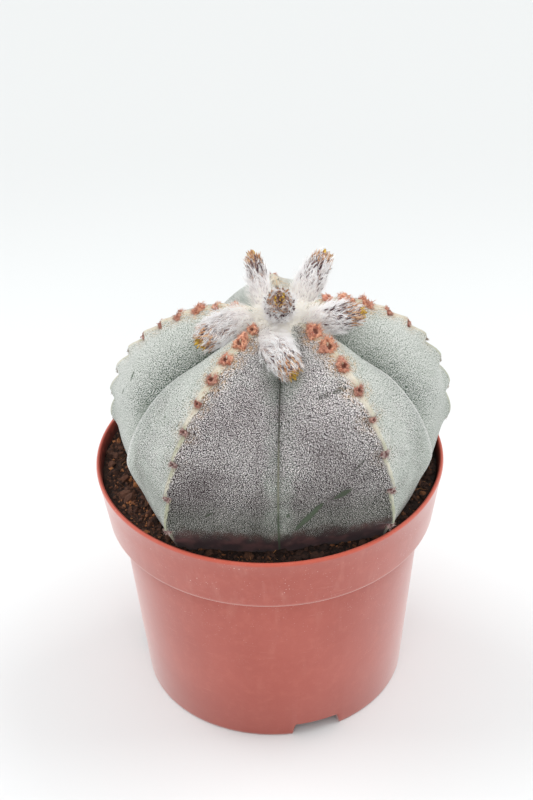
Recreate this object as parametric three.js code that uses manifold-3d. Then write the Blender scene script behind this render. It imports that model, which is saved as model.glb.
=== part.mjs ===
// A five-ribbed bishop's cap cactus in its round plastic nursery pot, in millimetres, +Z up.
// The origin lies under the middle of the whole plant and pot, on the surface that they stand on.
import * as THREE from 'three';
import { mergeVertices } from 'three/addons/utils/BufferGeometryUtils.js';
import Module from 'manifold-3d';

// ---- driving dimensions ----
const clearance = 0.3; // between pieces that touch
const sliver = 0.02; // edges shorter than this are closed up after a cut
const potAxisX = -1.4; // the plant leans out over one side, so the pot stands this far off the middle

const pot = {
  height: 78.6,
  rimRadius: 52.5,
  bandHeight: 17.9, // the straight collar below the lip
  bandFootRadius: 49.7,
  shoulderRadius: 46.1, // where the tapered body meets the collar
  footRadius: 40.2,
  wall: 1.2,
  footLift: 4.7, // underside of the floor above the surface
  footBevel: 0.4,
  footRing: 0.3, // how far the foot ring's edges are drawn in
  stepBelow: 2.4, // where the wall starts to turn out to the collar
  stepMiddle: 0.9,
  stepTop: 0.5,
  stepRound: 0.8,
  lipDepth: 1,
  lipRound: 0.3,
  innerStep: 2, // height of the sloping step inside the collar
  sides: 48,
};

const drain = {
  notches: 3,
  notchHeight: 4.3,
  notchWidth: 14.5,
  firstAzimuth: 17.7, // degrees from the front, to the right
  taper: 1, // a notch is wider at its foot by this much
  cutReach: 8, // how deep the notch is cut into the foot ring
  holes: 6,
  holeRadius: 3.6,
  holeSides: 12,
  holeRing: 27,
  holeTurn: 30, // degrees from the first notch
};

const soil = {
  level: 75.2, // mean height of its top
  lumpHeight: 1.3, // the highest crumb
  lumpMean: 0.8,
  lumpCount: 150,
  lumpsFrom: 36, // radius from which the top can be seen
  lumpsTo: 51,
  smallLump: 1.6,
  largeLump: 3.8,
  rings: 5,
  ringStep: 3.1,
};

const plant = {
  x: 4.95, // its axis, from the pot's axis
  y: -1.16,
  equator: 88.2, // height of its widest level
  crestRadius: 51.5,
  crestRise: 43.85, // from the equator to the top
  crestPower: 2.035,
  crestDrop: 33.4, // from the equator to the bottom
  valleyRadius: 45.0,
  valleyRise: 36.5,
  valleyPower: 1.73,
  valleyDrop: 34.1,
  crownHeight: 125.4, // the sunken middle of the top
  crownSpread: 7,
  buriedAngle: 140, // degrees down from the top, where the taper into the root begins
  bulgeTop: 6.9, // how far the flanks swell between crest and valley
  bulgeMiddle: 0.7,
  bulgeLow: 0.95,
  skewTop: -0.13,
  skewLow: 0.47,
  frontValleyShift: -2.7, // degrees
};

// Each rib: its azimuth in degrees from the front to the right, its size against the mean, and
// how much higher than the mean it tops. The areoles stand at growing steps down the crest:
// the arc to the first one, and the growth of the steps.
const ribs = [
  { azimuth: -105.5, size: 1.044, lift: -0.3, firstAreole: 14.9, growth: 1.07 },
  { azimuth: -39.4, size: 1.055, lift: 0, firstAreole: 14.2, growth: 1.1 },
  { azimuth: 37.1, size: 0.949, lift: 0, firstAreole: 15.0, growth: 1.125 },
  { azimuth: 103.5, size: 0.986, lift: 1.6, firstAreole: 14.0, growth: 1.1 },
  { azimuth: 184.6, size: 0.992, lift: -1.4, firstAreole: 14.2, growth: 1.1 },
];
const areole = {
  step: 4.5, // what each step adds to the growth
  perRib: 9,
  radius: 2.05,
  lowRadius: 1.25, // those far down are smaller
  largeTo: 26, // arc down the crest up to which they are large
  smallFrom: 46,
  height: 1.1,
  sunk: 0.45, // below the mean crest, in the notch
  uphill: 0.4, // from the notch towards the top
  lean: 0.35, // towards the downhill side
  sides: 7,
  lowest: 79.6, // none stand deeper in the pot
  crown: 0.55, // where a pad is highest, as a share of its radius
  dimple: 0.5, // depth of its middle, as a share of its height
  uneven: 0.12,
};

// The notched crest between areoles: its teeth rise from the notches to a peak and drop off.
const tooth = { height: 1.45, notch: 0.8, peak: 0.86, width: 0.16, crownRadius: 12, fadeFrom: 84, fadeTo: 79 };

const root = { top: 62, tip: 30, topRadius: 7, tipRadius: 2, sides: 10 };

// Where the rim holds the plant in: the farthest that its skin gets from the pot's axis.
const held = { lowHeight: 76.5, lowRadius: 49.4, rimHeight: 79.4, rimRadius: 50.7, flare: 1.6 };

const wool = {
  x: -0.8, // its middle, from the plant's axis
  y: -0.4,
  radius: 8.6,
  height: 6.4,
  depth: 3,
  sides: 36,
  rings: 6,
  waves: 9,
  tuft: 1.4,
  ragged: 0.06, // every second point of its edge is drawn in
};

// Foot and tip of each bud, from the plant's axis in X and Y and from the surface in Z.
const buds = [
  { foot: [-5.2, 5.6, 126.6], tip: [-8.6, 18.2, 139.6], lift: 2.2, girth: 3.7 },
  { foot: [4.4, 4.9, 126.8], tip: [13.8, 17.6, 139.6], lift: 2.0, girth: 4.5 },
  { foot: [6.0, -3.2, 127.2], tip: [24.2, -5.6, 132.4], lift: 1.4, girth: 4.2 },
  { foot: [-1.2, -0.2, 127.0], tip: [-0.8, -14.4, 143.8], lift: 2.6, girth: 3.8 },
  { foot: [-6.4, -7.8, 126.0], tip: [3.5, -24.4, 123.2], lift: 3.2, girth: 5.1 },
  { foot: [-9.2, 0.9, 126.4], tip: [-25.3, -8.8, 125.4], lift: 2.4, girth: 4.3 },
];
const budForm = {
  sides: 9,
  rings: 8,
  bend: 0.45, // where along it the bend is
  lumps: 0.05,
  recess: 1.5, // the mouth that holds the petals
  recessRadius: 1.1,
  roundFoot: 0.4,
  roundTip: 0.3,
};
const budGirths = [0.6, 0.88, 1, 0.99, 0.9, 0.72, 0.45]; // at even steps from the foot to the tip
const scales = {
  perBud: 22,
  turn: 137.5, // degrees from each scale to the next
  from: 0.42,
  to: 0.96,
  setBack: 0.06, // how far the seat lies behind the named place, along the bud
  mouthSetBack: 0.036,
  mouthFrom: 0.8,
  length: 3.4,
  width: 1.25,
  stand: 1.05, // the point's height over the bud
  droop: 0.25, // the point nods back by this much
  ridgeStand: 0.73,
  ridgeAt: 0.6,
  seat: 0.6, // depth of its root
  sunk: 0.15,
  seed: 127,
};
const petals = { radius: 0.78, reach: 1.9, ridges: 4, ridgeDepth: 0.14, sides: 8, twist: 0.25 };

const colours = {
  pot: 0xb8604f,
  soil: 0x2a1e17,
  skin: 0x9a9c98,
  wool: 0xe6dfd2,
  bud: 0xb9b0a6,
  petals: 0xc9a227,
};

// ---- helpers ----
const wasm = await Module();
wasm.setup();

const degrees = (angle) => THREE.MathUtils.degToRad(angle);
const lerp = THREE.MathUtils.lerp;

function randomFrom(seed) {
  let state = seed;
  return () => {
    state = (state + 0x6d2b79f5) | 0;
    let mixed = Math.imul(state ^ (state >>> 15), 1 | state);
    mixed = (mixed + Math.imul(mixed ^ (mixed >>> 7), 61 | mixed)) ^ mixed;
    return ((mixed ^ (mixed >>> 14)) >>> 0) / 4294967296;
  };
}

function merged(geometry) {
  const bare = geometry.clone();
  bare.deleteAttribute('normal');
  bare.deleteAttribute('uv');
  return mergeVertices(bare, 1e-4);
}

function toSolid(geometry) {
  const closed = merged(geometry);
  return new wasm.Manifold(
    new wasm.Mesh({
      numProp: 3,
      vertProperties: new Float32Array(closed.attributes.position.array),
      triVerts: new Uint32Array(closed.index.array),
    }),
  );
}

function toGeometry(solid) {
  const mesh = solid.getMesh();
  const geometry = new THREE.BufferGeometry();
  geometry.setAttribute('position', new THREE.BufferAttribute(new Float32Array(mesh.vertProperties), 3));
  geometry.setIndex(new THREE.BufferAttribute(new Uint32Array(mesh.triVerts), 1));
  return geometry;
}

// The largest connected part of a cut solid; slivers and loose scraps are dropped.
function largest(solid) {
  const parts = solid.simplify(sliver).decompose();
  return parts.reduce((best, part) => (part.volume() > best.volume() ? part : best), parts[0]);
}

function fuse(solids) {
  return solids.reduce((whole, solid) => whole.add(solid));
}

// A closed skin over rings of equally many points, with a point at each end.
function skinOver(firstPoint, rings, lastPoint) {
  const count = rings[0].length;
  const points = [firstPoint, ...rings.flat(), lastPoint];
  const faces = [];
  const at = (ring, side) => 1 + ring * count + (side % count);
  for (let side = 0; side < count; side++) {
    faces.push(0, at(0, side), at(0, side + 1));
    faces.push(points.length - 1, at(rings.length - 1, side + 1), at(rings.length - 1, side));
  }
  for (let ring = 0; ring + 1 < rings.length; ring++) {
    for (let side = 0; side < count; side++) {
      faces.push(at(ring, side), at(ring + 1, side), at(ring + 1, side + 1));
      faces.push(at(ring, side), at(ring + 1, side + 1), at(ring, side + 1));
    }
  }
  const geometry = new THREE.BufferGeometry().setFromPoints(points);
  geometry.setIndex(faces);
  return geometry;
}

// Every vertex moved out along its normal, for a clearance.
function swollen(geometry, distance) {
  const grown = merged(geometry);
  grown.computeVertexNormals();
  const place = grown.attributes.position;
  const normal = grown.attributes.normal;
  for (let i = 0; i < place.count; i++) {
    place.setXYZ(
      i,
      place.getX(i) + normal.getX(i) * distance,
      place.getY(i) + normal.getY(i) * distance,
      place.getZ(i) + normal.getZ(i) * distance,
    );
  }
  return grown;
}

// ---- the pot ----
// A LatheGeometry turns about Y, so it is stood up along Z.
function turned(profile, sides) {
  const outline = profile.map(([radius, height]) => new THREE.Vector2(radius, height));
  return new THREE.LatheGeometry(outline, sides).rotateX(Math.PI / 2);
}

const bandFoot = pot.height - pot.bandHeight;
const floorTop = pot.footLift + pot.wall;
const bandSlope = (pot.rimRadius - pot.bandFootRadius) / pot.bandHeight;
const bodySlope = (pot.shoulderRadius - pot.footRadius) / bandFoot;

function collarRadius(height) {
  return pot.bandFootRadius + (height - bandFoot) * bandSlope;
}

function bodyRadius(height) {
  return pot.footRadius + height * bodySlope;
}

// The inner wall from the floor up to the lip, drawn in by a clearance for what fills the pot.
function innerWall(gap) {
  const inset = pot.wall + gap;
  return [
    [bodyRadius(floorTop) - inset, floorTop + gap],
    [bodyRadius(bandFoot) - inset - 0.2, bandFoot + 0.1 + gap],
    [pot.bandFootRadius - inset - pot.stepTop, bandFoot + 0.7 + gap],
    [collarRadius(bandFoot + pot.innerStep) - inset, bandFoot + pot.innerStep + gap],
  ];
}

function makePot() {
  const lip = pot.height;
  const rim = pot.rimRadius;
  const profile = [
    [0, pot.footLift],
    [pot.footRadius - pot.wall - pot.footRing, pot.footLift],
    [pot.footRadius - pot.wall - pot.footRing - 0.2, 0],
    [pot.footRadius - pot.footRing, 0],
    [bodyRadius(pot.footBevel), pot.footBevel],
    [bodyRadius(bandFoot - pot.stepBelow), bandFoot - pot.stepBelow],
    [pot.shoulderRadius + 0.7, bandFoot - pot.stepMiddle],
    [pot.bandFootRadius - pot.stepRound, bandFoot - pot.stepTop],
    [pot.bandFootRadius, bandFoot + pot.stepRound / 2],
    [rim - pot.lipRound / 2, lip - pot.lipDepth],
    [rim, lip - pot.lipDepth * 0.6],
    [rim - pot.lipRound, lip],
    [rim - pot.wall + pot.lipRound, lip],
    [rim - pot.wall, lip - pot.lipDepth / 2],
    ...innerWall(0).reverse(),
    [0, floorTop],
  ];
  let solid = toSolid(turned(profile, pot.sides));
  for (let k = 0; k < drain.notches; k++) {
    const azimuth = degrees(drain.firstAzimuth + (360 * k) / drain.notches);
    const shape = new THREE.Shape();
    const footHalf = (drain.notchWidth + drain.taper) / 2;
    const topHalf = (drain.notchWidth - drain.taper) / 2;
    shape.moveTo(-footHalf, -1);
    shape.lineTo(footHalf, -1);
    shape.lineTo(topHalf, drain.notchHeight);
    shape.lineTo(-topHalf, drain.notchHeight);
    shape.closePath();
    const cut = new THREE.ExtrudeGeometry(shape, { depth: drain.cutReach, bevelEnabled: false });
    cut.rotateX(Math.PI / 2);
    cut.translate(0, -pot.footRadius + drain.cutReach / 2 + 1, 0);
    cut.rotateZ(azimuth);
    solid = solid.subtract(toSolid(cut));
  }
  for (let k = 0; k < drain.holes; k++) {
    const azimuth = degrees(drain.firstAzimuth + drain.holeTurn + (360 * k) / drain.holes);
    const through = 3 * pot.wall;
    const hole = new THREE.CylinderGeometry(drain.holeRadius, drain.holeRadius, through, drain.holeSides);
    hole.rotateX(Math.PI / 2);
    hole.translate(Math.sin(azimuth) * drain.holeRing, -Math.cos(azimuth) * drain.holeRing, floorTop - pot.wall / 2);
    solid = solid.subtract(toSolid(hole));
  }
  return solid;
}

// ---- the plant ----
function profileAt(angle, radius, rise, power, drop) {
  const sine = Math.sin(angle);
  const cosine = Math.cos(angle);
  if (cosine >= 0) {
    return [radius * sine ** (2 / power), plant.equator + rise * cosine ** (2 / power)];
  }
  return [radius * sine, plant.equator + drop * cosine];
}

function crestAt(angle, rib) {
  const rise = plant.crestRise + rib.lift;
  return profileAt(angle, plant.crestRadius * rib.size, rise, plant.crestPower, plant.crestDrop);
}

function valleyAt(angle, valley) {
  const rise = plant.valleyRise + valley.lift;
  return profileAt(angle, plant.valleyRadius * valley.size, rise, plant.valleyPower, plant.valleyDrop);
}

// The middle of the top is sunken, so that crests and valleys meet there.
function sunken([radius, height], top) {
  return [radius, height - (top - plant.crownHeight) * Math.exp(-((radius / plant.crownSpread) ** 2))];
}

// The angle from the top at an arc's length down a crest.
function angleAtArc(rib, arc) {
  const step = degrees(0.25);
  let walked = 0;
  let angle = 0;
  let [radius, height] = crestAt(0, rib);
  while (angle < degrees(plant.buriedAngle)) {
    const [nextRadius, nextHeight] = crestAt(angle + step, rib);
    const length = Math.hypot(nextRadius - radius, nextHeight - height);
    if (walked + length >= arc) {
      return angle + (step * (arc - walked)) / length;
    }
    walked += length;
    angle += step;
    radius = nextRadius;
    height = nextHeight;
  }
  return angle;
}

function areoleArcs(rib) {
  const arcs = [rib.firstAreole];
  for (let k = 1; k <= areole.perRib; k++) {
    arcs.push(arcs[k - 1] * rib.growth + areole.step);
  }
  return arcs;
}

// Stations down a crest: each is an angle from the top and how far the tooth stands out there.
function stationsOf(rib) {
  const stations = [];
  const arcs = areoleArcs(rib);
  for (const part of [0.25, 0.5, 0.75]) {
    stations.push([angleAtArc(rib, arcs[0] * part), 0]);
  }
  for (let k = 0; k + 1 < arcs.length; k++) {
    for (const [part, stand] of [[0, 0], [0.36, 0.5], [0.68, 0.86], [tooth.peak, 1]]) {
      stations.push([angleAtArc(rib, lerp(arcs[k], arcs[k + 1], part)), stand]);
    }
  }
  const reached = stations[stations.length - 1][0];
  const buriedRows = 6;
  for (let row = 1; row <= buriedRows; row++) {
    stations.push([lerp(reached, degrees(plant.buriedAngle), row / buriedRows), 0]);
  }
  return stations;
}

function heldIn(point) {
  const radius = Math.hypot(point.x, point.y);
  let limit = held.lowRadius;
  if (point.z > held.rimHeight) {
    limit = held.rimRadius + (point.z - held.rimHeight) * held.flare;
  } else if (point.z > held.lowHeight) {
    const part = (point.z - held.lowHeight) / (held.rimHeight - held.lowHeight);
    limit = lerp(held.lowRadius, held.rimRadius, part);
  }
  if (radius > limit) {
    point.x *= limit / radius;
    point.y *= limit / radius;
  }
  return point;
}

const flankParts = [0, 0.07, 0.22, 0.45, 0.72];
const ribStations = ribs.map(stationsOf);

function valleyBetween(index) {
  const one = ribs[index];
  const two = ribs[(index + 1) % ribs.length];
  const span = (two.azimuth - one.azimuth + 360) % 360;
  const shift = index === 1 ? plant.frontValleyShift : 0;
  const size = (one.size + two.size) / 2;
  const lift = (one.lift + two.lift) / 2;
  return { azimuth: one.azimuth + span / 2 + shift, size, lift };
}

// A point on the flank from the crest of one rib (part 0) to the valley beside it (part 1).
function flankPoint(ribIndex, valleyIndex, row, part, withTeeth) {
  const rib = ribs[ribIndex];
  const valley = valleyBetween(valleyIndex);
  const other = (valleyIndex + 1) % ribs.length;
  const side = ribIndex === valleyIndex ? 1 : -1;
  const [crestAngle, stand] = ribStations[ribIndex][row];
  const valleyAngle = (ribStations[valleyIndex][row][0] + ribStations[other][row][0]) / 2;
  const [crestR, crestZ] = sunken(crestAt(crestAngle, rib), crestAt(0, rib)[1]);
  const [valleyR, valleyZ] = sunken(valleyAt(valleyAngle, valley), valleyAt(0, valley)[1]);
  const crestAzimuth = degrees(rib.azimuth);
  const valleyAzimuth = degrees(valley.azimuth);
  const crest = new THREE.Vector3(crestR * Math.sin(crestAzimuth), -crestR * Math.cos(crestAzimuth), crestZ);
  const low = new THREE.Vector3(valleyR * Math.sin(valleyAzimuth), -valleyR * Math.cos(valleyAzimuth), valleyZ);
  const away = new THREE.Vector3((low.y - crest.y) * side, -(low.x - crest.x) * side, 0).normalize();
  const angle = lerp(crestAngle, valleyAngle, part);
  const [aheadR, aheadZ] = crestAt(angle + 0.01, rib);
  const [behindR, behindZ] = crestAt(angle - 0.01, rib);
  const tilt = Math.atan2(aheadR - behindR, behindZ - aheadZ);
  const outward = away.clone().multiplyScalar(Math.cos(tilt)).setZ(Math.sin(tilt));
  const reach = THREE.MathUtils.clamp(angle / (Math.PI / 2), 0, 2);
  let bulge = lerp(plant.bulgeMiddle, plant.bulgeLow, Math.max(reach - 1, 0));
  if (reach < 1) {
    bulge = plant.bulgeTop * 2 * reach * (1 - reach) + plant.bulgeMiddle * reach * reach;
  }
  const skew = lerp(plant.skewTop, plant.skewLow, reach / 1.5);
  const swell = 4 * part * (1 - part) * (1 + skew * (2 * part - 1));
  const point = crest.lerp(low, part).addScaledVector(outward, bulge * swell);
  point.x += plant.x;
  point.y += plant.y;
  if (withTeeth) {
    const crestOut = new THREE.Vector3(Math.sin(crestAzimuth), -Math.cos(crestAzimuth), 0);
    crestOut.multiplyScalar(Math.cos(tilt)).setZ(Math.sin(tilt));
    const nearCrest = Math.max(0, 1 - part / tooth.width);
    const low = THREE.MathUtils.smoothstep(point.z, tooth.fadeTo, tooth.fadeFrom);
    const crown = THREE.MathUtils.smoothstep(crestR, tooth.crownRadius / 2, tooth.crownRadius);
    point.addScaledVector(crestOut, (tooth.height * stand - tooth.notch) * nearCrest * low * crown);
  }
  return heldIn(point);
}

function bodySkin(withTeeth) {
  const rings = ribStations[0].map((unused, row) => {
    const ring = [];
    for (let index = 0; index < ribs.length; index++) {
      for (const part of flankParts) {
        ring.push(flankPoint(index, index, row, part, withTeeth));
      }
      ring.push(flankPoint(index, index, row, 1, withTeeth));
      const next = (index + 1) % ribs.length;
      for (const part of flankParts.slice(1).reverse()) {
        ring.push(flankPoint(next, index, row, part, withTeeth));
      }
    }
    return ring;
  });
  const top = new THREE.Vector3(plant.x, plant.y, plant.crownHeight);
  const bottom = new THREE.Vector3(plant.x, plant.y, plant.equator - plant.crestDrop);
  return skinOver(top, rings, bottom);
}

function rootCone(gap) {
  const cone = new THREE.CylinderGeometry(
    root.topRadius + gap,
    root.tipRadius + gap,
    root.top - root.tip + gap,
    root.sides,
  );
  cone.rotateX(Math.PI / 2);
  return toSolid(cone.translate(plant.x, plant.y, (root.top + root.tip - gap) / 2));
}

// A round woolly pad with a dimple, its root sunk into the crest, seated on the step below a tooth.
function areolePad(place, outward, downhill, radius, height, turn) {
  const across = new THREE.Vector3().crossVectors(outward, downhill).normalize();
  const along = new THREE.Vector3().crossVectors(across, outward).normalize();
  const spot = (ringRadius, level, angle) =>
    place
      .clone()
      .addScaledVector(across, Math.cos(angle) * ringRadius)
      .addScaledVector(along, Math.sin(angle) * ringRadius)
      .addScaledVector(outward, level);
  const rings = [];
  for (const [share, level] of [[areole.crown, 1], [1, 0.3]]) {
    const ring = [];
    for (let k = 0; k < areole.sides; k++) {
      const angle = turn - (2 * Math.PI * k) / areole.sides;
      const uneven = 1 + areole.uneven * Math.sin(3 * angle + turn * 5);
      ring.push(spot(radius * share * uneven, height * level, angle));
    }
    rings.push(ring);
  }
  return toSolid(skinOver(spot(0, height * areole.dimple, 0), rings, spot(0, -height * 1.2, 0)));
}

function areolePads(gap) {
  const random = randomFrom(21);
  const pads = [];
  for (const rib of ribs) {
    const azimuth = degrees(rib.azimuth);
    for (const arc of areoleArcs(rib)) {
      const angle = angleAtArc(rib, arc - areole.uphill);
      const [radius, height] = crestAt(angle, rib);
      const [aheadR, aheadZ] = crestAt(angle + 0.02, rib);
      const turn = random() * 6;
      if (height < areole.lowest) {
        continue;
      }
      const outwards = new THREE.Vector3(Math.sin(azimuth), -Math.cos(azimuth), 0);
      const downhill = outwards.clone().multiplyScalar(aheadR - radius).setZ(aheadZ - height).normalize();
      const normal = new THREE.Vector3(outwards.x * -downhill.z, outwards.y * -downhill.z, 0);
      normal.setZ(Math.hypot(downhill.x, downhill.y));
      normal.addScaledVector(downhill, areole.lean).normalize();
      const low = THREE.MathUtils.clamp((arc - areole.largeTo) / (areole.smallFrom - areole.largeTo), 0, 1);
      const size = lerp(areole.radius, areole.lowRadius, low);
      const place = new THREE.Vector3(
        plant.x + radius * outwards.x,
        plant.y + radius * outwards.y,
        height,
      ).addScaledVector(normal, -areole.sunk);
      const stand = areole.height * (size / areole.radius) + gap;
      pads.push(areolePad(place, normal, downhill, size + gap, stand, turn));
    }
  }
  return pads;
}

// ---- the buds ----
const plantPoint = ([x, y, z]) => new THREE.Vector3(x + plant.x, y + plant.y, z);

function budPath(bud) {
  const foot = plantPoint(bud.foot);
  const tip = plantPoint(bud.tip);
  const middle = foot.clone().lerp(tip, budForm.bend);
  middle.z += bud.lift;
  return new THREE.QuadraticBezierCurve3(foot, middle, tip);
}

// Thick below the middle, narrow at the foot and drawn in to the tip.
function budRadius(bud, along) {
  const place = along * (budGirths.length - 1);
  const step = Math.min(Math.floor(place), budGirths.length - 2);
  return bud.girth * lerp(budGirths[step], budGirths[step + 1], place - step);
}

function frameOn(path, along) {
  const forward = path.getTangent(along).normalize();
  const across = new THREE.Vector3().crossVectors(forward, new THREE.Vector3(0.13, 0.31, 1)).normalize();
  const over = new THREE.Vector3().crossVectors(across, forward).normalize();
  return { forward, across, over };
}

// A tube round a bud's path; a gap lengthens its foot too, for the room that it needs.
function tube(path, radiusAt, gap) {
  const { sides, rings } = budForm;
  const loops = [];
  for (let ring = 0; ring <= rings; ring++) {
    const along = ring / rings;
    const { forward, across, over } = frameOn(path, along);
    const centre = path.getPoint(along).addScaledVector(forward, ring === 0 ? -gap : 0);
    const loop = [];
    for (let k = 0; k < sides; k++) {
      const angle = (-2 * Math.PI * k) / sides;
      const radius = radiusAt(along, angle);
      loop.push(
        centre
          .clone()
          .addScaledVector(across, Math.cos(angle) * radius)
          .addScaledVector(over, Math.sin(angle) * radius),
      );
    }
    loops.push(loop);
  }
  const first = path.getPoint(0).addScaledVector(path.getTangent(0), -budForm.roundFoot - gap);
  const last = path.getPoint(1).addScaledVector(path.getTangent(1), budForm.roundTip);
  return skinOver(last, loops.reverse(), first);
}

function budScale(path, along, angle, radius) {
  const { forward, across, over } = frameOn(path, along);
  const outward = across.clone().multiplyScalar(Math.cos(angle)).addScaledVector(over, Math.sin(angle));
  const sideways = new THREE.Vector3().crossVectors(forward, outward).normalize();
  const seat = path.getPoint(along).addScaledVector(outward, radius - scales.sunk);
  const left = seat.clone().addScaledVector(sideways, scales.width / 2);
  const right = seat.clone().addScaledVector(sideways, -scales.width / 2);
  const deep = seat.clone().addScaledVector(outward, -scales.seat).addScaledVector(forward, -0.5);
  const ridge = seat.clone().addScaledVector(outward, scales.ridgeStand).addScaledVector(forward, scales.ridgeAt);
  const point = seat.clone().addScaledVector(forward, scales.length);
  point.addScaledVector(outward, scales.stand - scales.droop);
  const geometry = new THREE.BufferGeometry().setFromPoints([left, right, deep, ridge, point]);
  geometry.setIndex([0, 3, 4, 3, 1, 4, 0, 2, 3, 2, 1, 3, 0, 4, 2, 4, 1, 2]);
  return toSolid(geometry);
}

function makeBud(bud, seed) {
  const random = randomFrom(seed);
  const path = budPath(bud);
  const lump = (along, angle) => 1 + budForm.lumps * Math.sin(3 * angle + along * 9 + seed);
  const radiusAt = (along, angle) => budRadius(bud, along) * lump(along, angle);
  let solid = toSolid(tube(path, radiusAt, 0));
  const all = [solid];
  for (let k = 0; k < scales.perBud; k++) {
    const along = lerp(scales.from, scales.to, (k + 0.5 * random()) / scales.perBud);
    const angle = k * degrees(scales.turn) + 0.3 * random();
    const setBack = along > scales.mouthFrom ? scales.mouthSetBack : scales.setBack;
    all.push(budScale(path, along * (1 - setBack), angle, budRadius(bud, along)));
  }
  solid = fuse(all);
  const end = path.getPoint(1);
  const forward = path.getTangent(1);
  const recess = new THREE.CylinderGeometry(budForm.recessRadius, budForm.recessRadius, 2 * budForm.recess, 10);
  recess.applyQuaternion(new THREE.Quaternion().setFromUnitVectors(new THREE.Vector3(0, 1, 0), forward));
  recess.translate(end.x, end.y, end.z);
  return largest(solid.subtract(toSolid(recess)));
}

// The yellow tips of the closed petals, twisted together, in the mouth of the bud.
function makePetals(bud) {
  const path = budPath(bud);
  const { forward, across, over } = frameOn(path, 1);
  const end = path.getPoint(1);
  const rings = [];
  const form = [[petals.reach * 0.86, 0.5], [petals.reach * 0.5, 1.15], [0.15, 1], [clearance - budForm.recess, 0.8]];
  for (const [level, share] of form) {
    const ring = [];
    for (let k = 0; k < petals.sides; k++) {
      const angle = (-2 * Math.PI * k) / petals.sides;
      const ridge = 1 + petals.ridgeDepth * Math.cos(petals.ridges * angle) * (share > 0.9 ? 1 : 0.4);
      const twist = angle + level * petals.twist;
      const radius = petals.radius * share * ridge;
      ring.push(
        end
          .clone()
          .addScaledVector(forward, level)
          .addScaledVector(across, Math.cos(twist) * radius)
          .addScaledVector(over, Math.sin(twist) * radius),
      );
    }
    rings.push(ring);
  }
  const tip = end.clone().addScaledVector(forward, petals.reach);
  const seat = end.clone().addScaledVector(forward, clearance - budForm.recess);
  return toSolid(skinOver(tip, rings, seat));
}

// ---- the wool in the crown ----
function makeWool() {
  const random = randomFrom(5);
  const waves = Array.from({ length: wool.waves }, () => [2 + Math.floor(random() * 9), random() * 6, random() * 12]);
  const middle = new THREE.Vector3(plant.x + wool.x, plant.y + wool.y, plant.crownHeight);
  const rings = [];
  for (let ring = 1; ring <= wool.rings; ring++) {
    const share = ring / wool.rings;
    const loop = [];
    for (let k = 0; k < wool.sides; k++) {
      const angle = (2 * Math.PI * k) / wool.sides;
      let tuft = 0;
      for (const [count, phase, spin] of waves) {
        tuft += Math.sin(phase + spin * share - count * angle) / waves.length;
      }
      const ragged = 1 + (k % 2 ? wool.ragged : -wool.ragged) + 2 * wool.ragged * tuft;
      const radius = wool.radius * share * lerp(1, ragged, share);
      const dome = wool.height * Math.sqrt(1 - (share * 0.93) ** 2);
      const up = dome + wool.tuft * tuft * (1 - share * 0.4);
      loop.push(middle.clone().add(new THREE.Vector3(Math.cos(angle) * radius, Math.sin(angle) * radius, up)));
    }
    rings.push(loop);
  }
  const low = plant.crownHeight - wool.depth;
  rings.push(rings[rings.length - 1].map((point) => point.clone().setZ(low)));
  return toSolid(skinOver(middle.clone().setZ(middle.z + wool.height), rings, middle.clone().setZ(low)));
}

// ---- the soil ----
function makeSoil() {
  const random = randomFrom(77);
  const lumps = [];
  for (let k = 0; k < soil.lumpCount; k++) {
    const angle = random() * 2 * Math.PI;
    const radius = lerp(soil.lumpsFrom, soil.lumpsTo, random());
    const width = lerp(soil.smallLump, soil.largeLump, random());
    lumps.push([radius * Math.cos(angle), radius * Math.sin(angle), width, random() * 2 - 0.7]);
  }
  const surface = (x, y) => {
    let height = soil.level;
    for (const [lumpX, lumpY, width, stand] of lumps) {
      const distance = Math.hypot(x - lumpX, y - lumpY) / width;
      height += soil.lumpMean * stand * Math.exp(-distance * distance);
    }
    return Math.min(height, soil.level + soil.lumpHeight);
  };
  const wall = innerWall(clearance);
  const rim = collarRadius(soil.level) - pot.wall - clearance;
  const radii = [rim];
  for (let ring = 1; ring <= soil.rings; ring++) {
    radii.unshift(rim - ring * soil.ringStep);
  }
  const sides = pot.sides;
  const circle = (radius, height) =>
    Array.from({ length: sides }, (unused, k) => {
      // the same corners as the pot's wall, so that the gap stays even
      const angle = (-2 * Math.PI * k) / sides;
      const x = radius * Math.cos(angle);
      const y = radius * Math.sin(angle);
      return new THREE.Vector3(x, -y, height === null ? surface(x, -y) : height);
    });
  const rings = [...radii.map((radius) => circle(radius, null)), ...wall.reverse().map(([r, z]) => circle(r, z))];
  const bottom = new THREE.Vector3(0, 0, floorTop + clearance);
  return toSolid(skinOver(new THREE.Vector3(0, 0, soil.level), rings, bottom));
}

// ---- assembly ----
const bareSkin = bodySkin(false);
const plainRoom = toSolid(swollen(bareSkin, clearance * 1.5)).add(rootCone(clearance * 1.2));
const bodySolid = largest(fuse([toSolid(bodySkin(true)), rootCone(0), ...areolePads(0)]));
const crownRoom = fuse([toSolid(swollen(bodySkin(true), clearance * 1.3)), ...areolePads(clearance * 1.2)]);

const budSolids = buds.map((bud, index) => largest(makeBud(bud, scales.seed + index).subtract(crownRoom)));
let woolSolid = makeWool().subtract(toSolid(swollen(bodySkin(true), clearance * 2)));
woolSolid = woolSolid.subtract(crownRoom);
for (const bud of buds) {
  const roomy = (along) => budRadius(bud, along) * 1.06 + clearance * 1.6;
  woolSolid = woolSolid.subtract(toSolid(tube(budPath(bud), roomy, clearance * 1.6)));
}
woolSolid = largest(woolSolid);

const assembly = new THREE.Group();
assembly.position.x = potAxisX;

function addPiece(name, solid, colour, roughness) {
  const material = new THREE.MeshStandardMaterial({ color: colour, roughness, metalness: 0 });
  const mesh = new THREE.Mesh(toGeometry(solid), material);
  mesh.name = name;
  assembly.add(mesh);
}

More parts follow.
